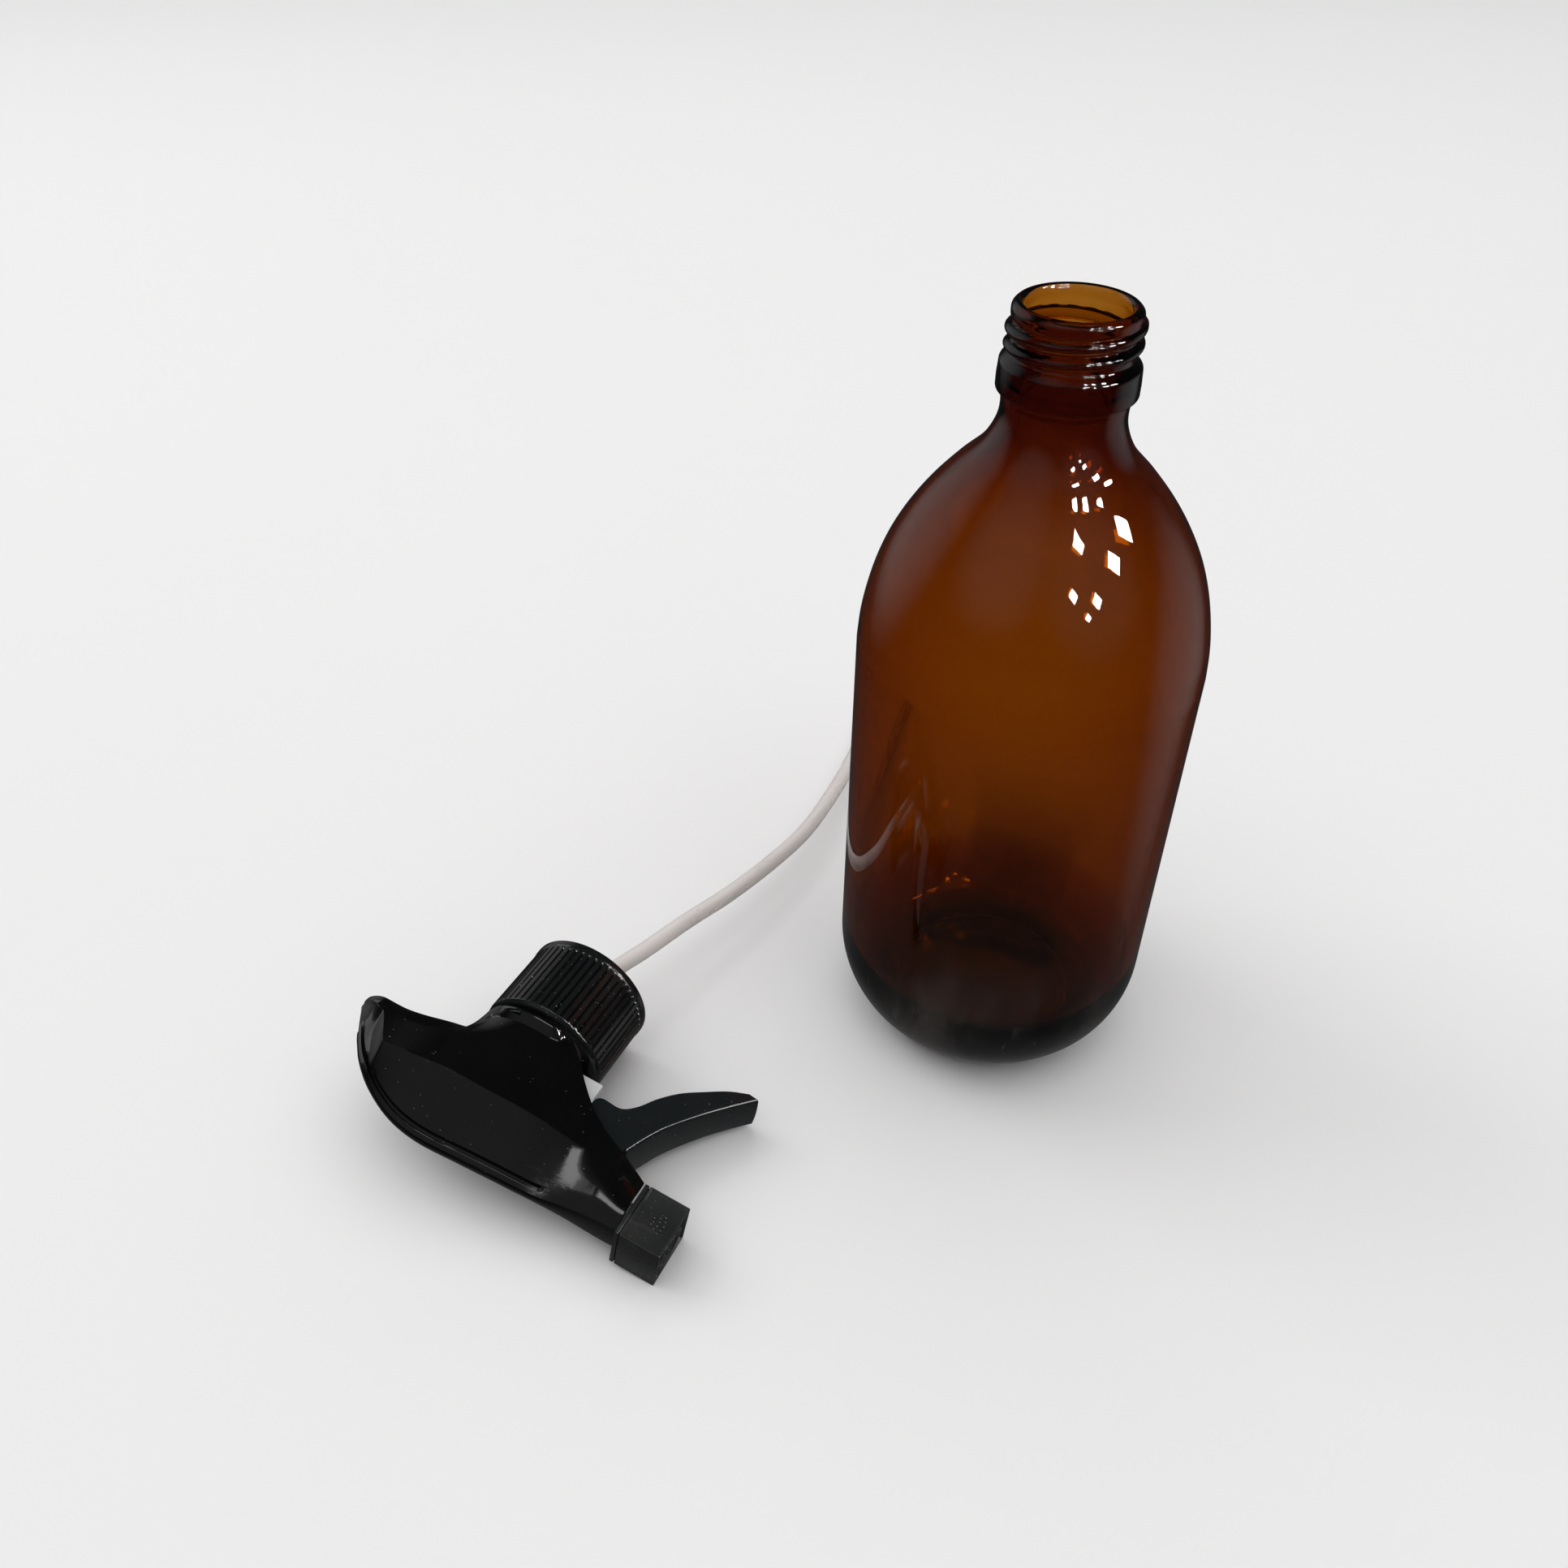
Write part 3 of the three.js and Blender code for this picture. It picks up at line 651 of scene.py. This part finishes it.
def crest_half(x):
    """Half width along the crease between the flank and the panel."""
    ahead = lerp(11.2, 8.4, smoothstep(x, 6, 33)) - 1.7 * smoothstep(x, 32.5, 42)
    into_nose = np.clip(-x + TAIL_TIP + TAIL_NOSE, 0, TAIL_NOSE) / (TAIL_NOSE + 0.1)
    nose = np.sqrt(np.clip(1 - into_nose ** 2, 0, 1))
    behind = lerp(11.2, 5.4, smoothstep(-x, 8, 43)) * nose
    return np.where(x > 0, ahead, behind)


def skirt_half(x):
    """Half width along the lower edge, round behind the collar."""
    ahead = lerp(13.0, crest_half(x), np.clip(x / 26, 0, 1))
    behind = 13.0 * np.sqrt(np.clip(1 - (x / SKIRT_REAR) ** 2, 0, 1))
    return np.where(x > 0, ahead, behind)


def shroud_half(x, z, zc, zt):
    """Half width at a height: skirt, flank up to the crease at zc, then the leaning panel up to zt."""
    crest = crest_half(x)
    flank = lerp(skirt_half(x), crest, smoothstep(z, 1.5, 13))
    flare = smoothstep(x, 18, 40)
    t = np.clip((z - zc) / (zt - zc), 0, 1)
    top = np.minimum(lerp(*RIDGE_HALF, flare), crest * 0.8)
    panel = lerp(crest, top, t) + 1.5 * flare * np.sin(math.pi * t) - 0.35 * (1 - flare) * np.sin(math.pi * t)
    return np.where(z <= zc, flank, panel)


def edge_distance(x, z, edge):
    """How far each point is from the nearest point of the edge, in side view."""
    gap = np.hypot(x[..., None] - edge[:, 0], z[..., None] - edge[:, 1])
    return gap.min(-1)


def shroud_heights(edge, top):
    """The crease's height at each step of the edge, and the rows of heights from edge to ridge."""
    x = edge[:, 0]
    tip = smoothstep(x, -43.0, -27)
    crease = np.minimum(lerp(22.0, 20.8, np.clip(x / 41, 0, 1)), lerp(edge[:, 1] + 0.5, top - 5.5, tip))
    crease = np.maximum(crease, edge[:, 1] + 0.25 * (top - edge[:, 1]))
    low = np.concatenate([np.linspace(0, 0.16, 12)[:-1], np.linspace(0.16, 1, 22)])
    high = np.concatenate([np.linspace(0, 0.08, 4)[1:], np.linspace(0.08, 0.74, 12)[1:],
                           np.linspace(0.74, 1, 40)[1:]])
    z = np.hstack([edge[:, 1:] + (crease - edge[:, 1])[:, None] * low,
                   crease[:, None] + (top - crease)[:, None] * high])
    return crease, z


def make_shroud():
    edge = lower_edge()
    ridge = curve(RIDGE, 200)
    x = edge[:, 0]
    top = np.interp(x, ridge[:, 0], ridge[:, 1])
    crease, z = shroud_heights(edge, top)
    xs = np.repeat(x[:, None], z.shape[1], 1)
    y = shroud_half(xs, z, crease[:, None], top[:, None])
    y = y + shroud_lip(xs, z, edge)
    y = y - shroud_groove(xs, z, top[:, None])
    band = [np.stack([x, y[:, -1] * f, top + RIDGE_CROWN * (1 - f * f)], 1)[:, None] for f in (0.66, 0.33)]
    half = np.concatenate([np.stack([xs, y, z], 2), *band], 1)
    middle = np.stack([x, 0 * x, top + RIDGE_CROWN], 1)
    skin = np.concatenate([half, middle[:, None], half[:, ::-1] * [1, -1, 1]], 1)
    centre = skin[0].mean(0)
    caps = [centre + (skin[0] - centre) * size - [back, 0, 0] for size, back in TAIL_CAP]
    shell = Shape().grid(np.concatenate([np.array(caps), skin], 0))
    shell = shell.object("shroud_shell", SPRAY, 38, thickness=1.1, bevel=0.16)
    place(shell, "sprayer_body", BLACK, "gloss_black", "shroud")
    make_skirt()


def shroud_lip(x, z, edge):
    """The flange that turns outwards along the lower edge, from the tail to the front of the collar."""
    kept = edge[edge[:, 0] < 9.5]
    gap = edge_distance(x, z, kept)
    out = lerp(0.8, 1.9, smoothstep(x, -19, -9)) * (1 - smoothstep(x, 3.0, LIP_END)) * smoothstep(x, -43, -38)
    fold = np.clip(1 - (gap - 0.2) / (LIP_BAND - 0.2), 0, 1)
    return out * fold ** 0.8


def shroud_groove(x, z, top):
    """The groove beside the ridge band, from the tail to a rounded end."""
    gap = (top - z) * 1.25
    inside = smoothstep(gap, 1.3, 1.6) * (1 - smoothstep(gap, 2.5, 2.8))
    along = (1 - smoothstep(x, GROOVE_END - 0.9, GROOVE_END)) * smoothstep(x, -40, -37)
    return GROOVE_DEPTH * inside * along


SKIRT_OUTLINE = [(15.1, 0.45), (15.1, 1.5), (13.4, 2.2), (12.9, 4.0), (12.9, 9.0), (11.9, 9.0), (11.9, 0.45)]


def make_skirt():
    """The rear of the round skirt, which closes the shell behind the collar."""
    a = np.radians(np.linspace(112, 248, 60))
    rows = []
    for r, z in SKIRT_OUTLINE:
        squeeze = 1 - 0.16 * smoothstep(z, 2, 9)
        rows.append(np.stack([r * np.cos(a), r * np.sin(a) * squeeze, np.full_like(a, z)], 1))
    obj = Shape().grid(np.array(rows), True, False).object("shroud_skirt_rear", SPRAY, 40, bevel=0.12)
    place(obj, "sprayer_body", BLACK, "gloss_black")


# ---------------------------------------------------------------- trigger
TRIGGER_FRONT = [(29.2, 22.3), (31.6, 21.8), (33.4, 17.4), (36.2, 10.6), (38.9, 5.0), (44.3, -3.0),
                 (49.3, -9.2), (53.9, -14.4)]
TRIGGER_BACK = [(29.2, 22.3), (26.6, 20.8), (25.6, 18.0), (21.4, 12.4), (20.4, 8.0), (21.6, 6.6), (27.0, 6.5),
                (29.9, 4.0), (32.8, -0.7), (36.6, -5.3), (41.2, -8.9), (46.5, -12.6), (51.1, -14.7)]
TRIGGER_CORNER = 0.75               # radius of the corner between flank and face
CORNER_ANGLES = np.radians([78, 60, 42, 24, 8])
FRONT_CROWN = [(0.8, 0.05), (0.6, 0.14), (0.3, 0.24)]   # share of the half width, and rise
CROWN_TOP = (0.28, 0.11)
FLANK_STEPS = 15
FRONT_FROM_Z = 16.0                 # the ears are open in front above this height


def trigger_half(z):
    return np.interp(z, [-20, -6, 10, 30], [5.4, 5.6, 6.5, 6.5])


def trigger_section(front, back):
    """One section of the blade: flank, rounded corner and crowned face, then the same mirrored."""
    inward = (back - front) / max(1e-6, np.linalg.norm(back - front))
    corner = min(TRIGGER_CORNER, 0.4 * np.linalg.norm(back - front))
    across = np.linspace(0, 1, FLANK_STEPS)
    side = back + (front + inward * corner - back) * across[:, None]
    flank = np.stack([side[:, 0], trigger_half(side[:, 1]), side[:, 1]], 1)
    half = trigger_half(front[1])
    face = []
    for angle in CORNER_ANGLES:
        at = front + inward * corner * (1 - math.cos(angle))
        face.append((at[0], half - TRIGGER_CORNER * (1 - math.sin(angle)), at[1]))
    face += [(front[0] + rise, half * share, front[1] + 0.4 * rise) for share, rise in FRONT_CROWN]
    middle = [(front[0] + CROWN_TOP[0], 0, front[1] + CROWN_TOP[1])]
    left = np.vstack([flank, face])
    return np.vstack([left, middle, left[::-1] * [1, -1, 1]])


def make_trigger():
    front = curve(TRIGGER_FRONT, 90)
    back = curve(TRIGGER_BACK, 90)
    points = np.array([trigger_section(f, b) for f, b in zip(front, back)])
    rows, cols = points.shape[:2]
    shape = Shape()
    shape.points = points.reshape(-1, 3).tolist()
    for face in grid_faces(rows, cols, False, False):
        i, j = divmod(face[0], cols)
        open_front = front[i, 1] > FRONT_FROM_Z and FLANK_STEPS - 1 <= j < cols - FLANK_STEPS
        if not open_front:
            shape.faces.append(face)
    shape.faces.append([(rows - 1) * cols + j for j in range(cols)])
    obj = shape.object("trigger_blade", SPRAY, 35, thickness=1.15, bevel=0.15)
    place(obj, "trigger_body", BLACK_TRIGGER, "gloss_black", "trigger")


# ---------------------------------------------------------------- nozzle
NOZZLE = {"from": 42.1, "to": 53.9, "half": 6.7, "low": 20.5, "high": 34.4}
SPOUT_Z = 27.45
COLLAR_RING = 1.1                   # thickness of the nozzle's rear plate
JOINT_INSET = 0.45                  # depth of the joint line between that plate and the block
MARK_X = 46.6
MARK_FAN = [(1.6, 3), (2.9, 4), (4.2, 5)]               # radius, and how many dots
MARK_SPREAD = 32                    # degrees, each way


def panelled_block(x0, x1, half, low, high):
    """The nozzle's main block, with a sunk panel in each flank and a sunk square in front."""
    bm = bmesh.new()
    bmesh.ops.create_cube(bm, size=1)
    for v in bm.verts:
        v.co = Vector((lerp(x0, x1, v.co.x + 0.5), v.co.y * 2 * half, lerp(low, high, v.co.z + 0.5)))
    bm.normal_update()
    for face in [f for f in bm.faces if abs(f.normal.y) > 0.9]:
        bmesh.ops.inset_individual(bm, faces=[face], thickness=0.55, depth=0)
        bmesh.ops.inset_individual(bm, faces=[face], thickness=0.15, depth=-0.35)
    for face in [f for f in bm.faces if f.normal.x > 0.9 and f.calc_area() > 100]:
        bmesh.ops.inset_individual(bm, faces=[face], thickness=0.95, depth=0)
        bmesh.ops.inset_individual(bm, faces=[face], thickness=0.15, depth=-1.0)
    bmesh.ops.bevel(bm, geom=bm.edges[:], offset=0.17, segments=3, affect="EDGES", profile=0.5)
    return bm


def make_nozzle():
    n = NOZZLE
    front = n["to"]
    side, low, high = n["half"] - JOINT_INSET, n["low"] + JOINT_INSET, n["high"] - JOINT_INSET
    shape = Shape()
    shape.take(panelled_block(n["from"] + 1.35, front, n["half"], n["low"], n["high"]))
    shape.block((n["from"], -n["half"], n["low"]), (n["from"] + COLLAR_RING, n["half"], n["high"]), 0.25)
    shape.block((n["from"] + 0.6, -side, low), (n["from"] + 2.2, side, high), 0.05)
    shape.turned([(0.55, front - 1.9), (0.55, front - 1.2), (1.3, front - 0.75), (3.7, front - 0.75),
                  (4.3, front - 0.2), (4.9, front - 0.2), (5.1, front - 1.2), (5.1, front - 1.9)],
                 (0, 0, SPOUT_Z), "x", 64, 0.15)
    for y0, y1, z0, z1 in ((-0.28, 0.28, 1.5, 3.8), (-0.28, 0.28, -3.8, -1.5), (1.5, 3.8, -0.28, 0.28),
                           (-3.8, -1.5, -0.28, 0.28)):
        shape.block((front - 1.0, y0, SPOUT_Z + z0), (front - 0.5, y1, SPOUT_Z + z1), 0.1)
    spray_marks(shape)
    place(shape.object("nozzle_block", SPRAY, 40), "nozzle_body", BLACK_NOZZLE, "gloss_black", "nozzle_cap")


def spray_marks(shape):
    """A plain fan of raised dots on both flanks, which stands for the spray setting."""
    for side in (1, -1):
        for ring, count in MARK_FAN:
            for k in range(count):
                angle = math.radians(lerp(-MARK_SPREAD, MARK_SPREAD, k / (count - 1)))
                at = (MARK_X + ring * math.cos(angle), side * (NOZZLE["half"] - 0.3),
                      SPOUT_Z + ring * math.sin(angle))
                dot = [(0, -0.2), (0.34, -0.2), (0.34, 0.12), (0.2, 0.22), (0, 0.24)]
                if side < 0:
                    dot = [(r, -h) for r, h in dot][::-1]
                shape.turned(dot, at, "y_out", 12, 0.05)


# ---------------------------------------------------------------- pump and inner pieces
BORE_Z = 9.5
FLANGE_TOP = -3.5
FLANGE_LOW = -5.0
OUTLET_SPRING = {"radius": 1.5, "wire": 0.5, "start": 22.5, "end": 28.1, "turns": 4}
RETURN_SPRING = {"radius": 2.7, "wire": 0.7, "start": 6.7, "end": 13.2, "turns": 5}


def make_pump():
    """Flange and stem, tube socket, riser, outlet barrel, bore, then the blocks that join them."""
    shape = Shape()
    shape.turned([(0, FLANGE_LOW), (13.6, FLANGE_LOW), (13.6, FLANGE_TOP), (10.2, FLANGE_TOP),
                  (10.2, 2), (0, 2)])
    shape.turned([(2.4, -9.4), (6.6, -8.8), (6.6, FLANGE_LOW + 0.2), (2.4, FLANGE_LOW + 0.2)])
    shape.turned([(0, 0), (4.5, 0), (4.5, 19), (3.3, 21), (3.3, 30.4), (0, 30.4)])
    shape.turned([(0, 0), (3.4, 0), (3.4, 47), (1.4, 47), (1.4, 44), (0, 44)], (0, 0, SPOUT_Z), "x")
    shape.turned([(0, 0), (4.9, 0), (4.9, 18.8), (5.1, 19), (5.1, 20), (4.0, 20), (4.0, 6), (0, 6)],
                 (0, 0, BORE_Z), "x")
    shape.block((12, -4.7, 2.2), (19.7, 4.7, 7.2), 0.5)
    shape.block((3, -1.1, 13), (30, 1.1, 25.5), 0.2)
    shape.block((26.6, -3.4, 17.2), (32.4, 3.4, 24.5), 0.6)
    place(shape.object("pump_body_grey", SPRAY), "sprayer_body", GREY, "natural_grey", "pump_body")


def coil(radius, wire, start, end, turns):
    """The middle line of a spring's wire up the z axis, and the wire's radius."""
    a = np.linspace(0, turns * TAU, turns * 24 + 1)
    path = np.stack([radius * np.cos(a), radius * np.sin(a), np.linspace(start, end, len(a))], 1)
    return path, wire / 2


def make_spring(name, path, half, node):
    obj = Shape().tube(path, half).object(name, SPRAY, 60)
    return place(obj, "sprayer_body", STEEL, "steel", node)


def make_inner():
    gasket = Shape().turned([(9.2, -6.5), (13.6, -6.5), (13.6, -5.3), (9.2, -5.3)], radius=0.3)
    place(gasket.object("neck_gasket_ring", SPRAY), "sprayer_body", SEAL, "white_seal", "neck_gasket")
    holder = Shape().turned([(2.55, -15), (4.2, -15), (4.2, -9.6), (5.2, -8.4), (5.2, -7.4), (1.5, -7.4),
                             (1.5, -8.2), (2.55, -8.2)])
    place(holder.object("tube_holder_sleeve", SPRAY), "sprayer_body", GREY, "natural_grey", "tube_retainer")
    path, half = coil(**OUTLET_SPRING)
    outlet = make_spring("outlet_spring_coil", path, half, "outlet_spring")
    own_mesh(outlet)
    path, half = coil(**RETURN_SPRING)
    path = path[:, [2, 1, 0]] * [1, 1, -1] + [0, 0, BORE_Z]
    spring = make_spring("return_spring_coil", path, half, "return_spring")
    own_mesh(spring)
    keep_cad({"intake_seat": SEAL, "intake_ball": STEEL, "outlet_disc": SEAL, "outlet_plug": GREY,
              "piston": GREY, "piston_seal": SEAL, "vent_seal": SEAL, "trigger_pin": STEEL, "spinner": SEAL,
              "nozzle_seal": SEAL})


def keep_cad(looks):
    """Gives the small inner CAD nodes that are carried over their materials."""
    for name, look in looks.items():
        node = frame["nodes"][name]
        node.data.materials.clear()
        node.data.materials.append(look)


# ---------------------------------------------------------------- studio
CAMERA = {"at": (0.10782, -0.21959, 0.28094), "yaw": 25.43, "pitch": 38.656, "roll": 0.732, "lens": 31.13}
SENSOR = 36                         # millimetres, as the lens is


def make_camera():
    data = bpy.data.cameras.new("camera")
    data.sensor_width = SENSOR
    data.lens = CAMERA["lens"]
    data.clip_start = 0.01
    camera = bpy.data.objects.new("camera", data)
    bpy.context.scene.collection.objects.link(camera)
    yaw, pitch, roll = (math.radians(CAMERA[k]) for k in ("yaw", "pitch", "roll"))
    look = Vector((-math.sin(yaw) * math.cos(pitch), math.cos(yaw) * math.cos(pitch), -math.sin(pitch)))
    flat = Vector((math.cos(yaw), math.sin(yaw), 0))
    over = flat.cross(look)
    right = flat * math.cos(roll) + over * math.sin(roll)
    up = over * math.cos(roll) - flat * math.sin(roll)
    camera.matrix_world = Matrix.Translation(CAMERA["at"]) @ Matrix((right, up, -look)).transposed().to_4x4()
    bpy.context.scene.camera = camera


STAGE_LINE = [(0, 0), (2.6, 0), (3.3, 0.03), (3.8, 0.3), (4.0, 0.8), (4.0, 2.6)]    # metres


def make_stage():
    """A pale round floor that curves up into a wall."""
    profile = soften(np.array(STAGE_LINE) / MM, 300.0, 8)
    obj = Shape().turned(profile, radius=0, segments=96).object("stage_floor", ROW, 60)
    look = Look("stage_paint")
    look.set("Base Color", look.mix(look.noise(3.0), (0.795, 0.79, 0.79), (0.81, 0.805, 0.805)))
    look.set("Roughness", 0.9)
    look.set("Specular IOR Level", 0.1)
    obj.data.materials.append(look.material)
    obj.visible_glossy = False


def area(name, at, aim, size, power, glossy=True, spin=0.0):
    data = bpy.data.lights.new(name, "AREA")
    data.shape = "RECTANGLE"
    data.size, data.size_y = size
    data.energy = power
    light = bpy.data.objects.new(name, data)
    bpy.context.scene.collection.objects.link(light)
    at, aim = Vector(at), Vector(aim)
    light.matrix_world = (Matrix.Translation(at) @ (at - aim).to_track_quat("Z", "Y").to_matrix().to_4x4()
                          @ Matrix.Rotation(spin, 4, "Z"))
    light.visible_glossy = glossy
    light.visible_camera = False
    return light


def direction(azimuth, elevation):
    """The unit vector towards a place in the room, from two angles in degrees."""
    a, e = math.radians(azimuth), math.radians(elevation)
    return Vector((math.cos(e) * math.cos(a), math.cos(e) * math.sin(a), math.sin(e)))


# Soft patches of the room: azimuth, elevation, core and fade radius in degrees, brightness.
ROOM = [(-112, 42, 10, 38, 0.21), (165, 14, 8, 40, 0.45), (-30, 34, 8, 40, 0.16), (36, -12, 6, 34, 0.32),
        (0, -90, 10, 60, 0.10)]
ROOM_BASE = 0.02


def make_world():
    """A dim room with the soft patches added up."""
    world = bpy.data.worlds.new("room")
    world.use_nodes = True
    bpy.context.scene.world = world
    tree = world.node_tree
    place = tree.nodes.new("ShaderNodeTexCoord").outputs["Generated"]
    total = ROOM_BASE
    for azimuth, elevation, core, fade, light in ROOM:
        dot = tree.nodes.new("ShaderNodeVectorMath")
        dot.operation = "DOT_PRODUCT"
        tree.links.new(place, dot.inputs[0])
        dot.inputs[1].default_value = direction(azimuth, elevation)
        soft = tree.nodes.new("ShaderNodeMapRange")
        soft.interpolation_type = "SMOOTHSTEP"
        tree.links.new(dot.outputs["Value"], soft.inputs["Value"])
        soft.inputs["From Min"].default_value = math.cos(math.radians(fade))
        soft.inputs["From Max"].default_value = math.cos(math.radians(core))
        soft.inputs["To Max"].default_value = light
        add = tree.nodes.new("ShaderNodeMath")
        tree.links.new(soft.outputs[0], add.inputs[0])
        if isinstance(total, float):
            add.inputs[1].default_value = total
        else:
            tree.links.new(total, add.inputs[1])
        total = add.outputs[0]
    tree.links.new(total, tree.nodes["Background"].inputs["Color"])


# Panes of a far window that show as small highlights on the glass: azimuth, elevation, width, height.
PANES = [(12, 36, 0.09, 0.20), (-38, 49, 0.08, 0.14), (-9, 34, 0.12, 0.16), (-48, 31, 0.07, 0.10),
         (-30, 26, 0.08, 0.10), (-38, 21, 0.05, 0.06), (4, 52, 0.05, 0.09), (-16, 58, 0.05, 0.08),
         (-32, 62, 0.04, 0.07)]
PANE_SIZE = 1.2
PANE_POWER = 190.0                  # watts to a square metre
PANE_DISTANCE = 1.3
# Windows that show on the black plastic alone: azimuth, elevation, width, height, brightness.
WINDOWS = [(-100, 60, 0.40, 0.14, 3.2), (-101, 61, 0.48, 0.20, 1.0),
           (-20, 22, 0.55, 0.42, 5.0), (176, 30, 0.5, 0.5, 0.9)]
# Where those two are seen from: the bottle's shoulder, and the panel near its front end.
SHOULDER = BOTTLE @ Vector((0.015, -0.02, 0.145))
PANEL = SPRAY @ Vector((0.026, 0.006, 0.027))
CEILING = {"at": (0.4, 0.4, 2.55), "aim": (0.4, 0.4, 0), "size": (5.0, 5.0), "power": 108}
KEY = {"at": (-1.9, -0.05, 1.7), "aim": (0, 0, 0.04), "size": (1.4, 1.4), "power": 15}


def make_lights():
    area("ceiling", **CEILING, glossy=False)
    area("key", **KEY, glossy=False)
    for k, (azimuth, elevation, width, height) in enumerate(PANES):
        at = SHOULDER + direction(azimuth, elevation) * PANE_DISTANCE
        size = (width * PANE_SIZE, height * PANE_SIZE)
        power = PANE_POWER * size[0] * size[1]
        pane = area(f"pane_{k}", at, SHOULDER, size, power, spin=math.radians(45))
        pane.visible_diffuse = False
    lit = bpy.data.collections.new("lit_by_windows")
    for obj in bpy.context.scene.objects:
        if obj.type == "MESH" and obj.name.startswith(("shroud", "nozzle", "trigger", "collar")):
            lit.objects.link(obj)
    for k, (azimuth, elevation, width, height, glow) in enumerate(WINDOWS):
        power = math.pi * width * height * glow
        at = PANEL + direction(azimuth, elevation)
        window = area(f"window_{k}", at, PANEL, (width, height), power)
        window.visible_diffuse = False
        window.light_linking.receiver_collection = lit


def view_settings():
    bpy.context.scene.view_settings.view_transform = "Standard"


make_camera()
make_dip_tube()
make_bottle()
make_collar()
make_shroud()
make_trigger()
make_nozzle()
make_pump()
make_inner()
make_stage()
make_world()
make_lights()
view_settings()
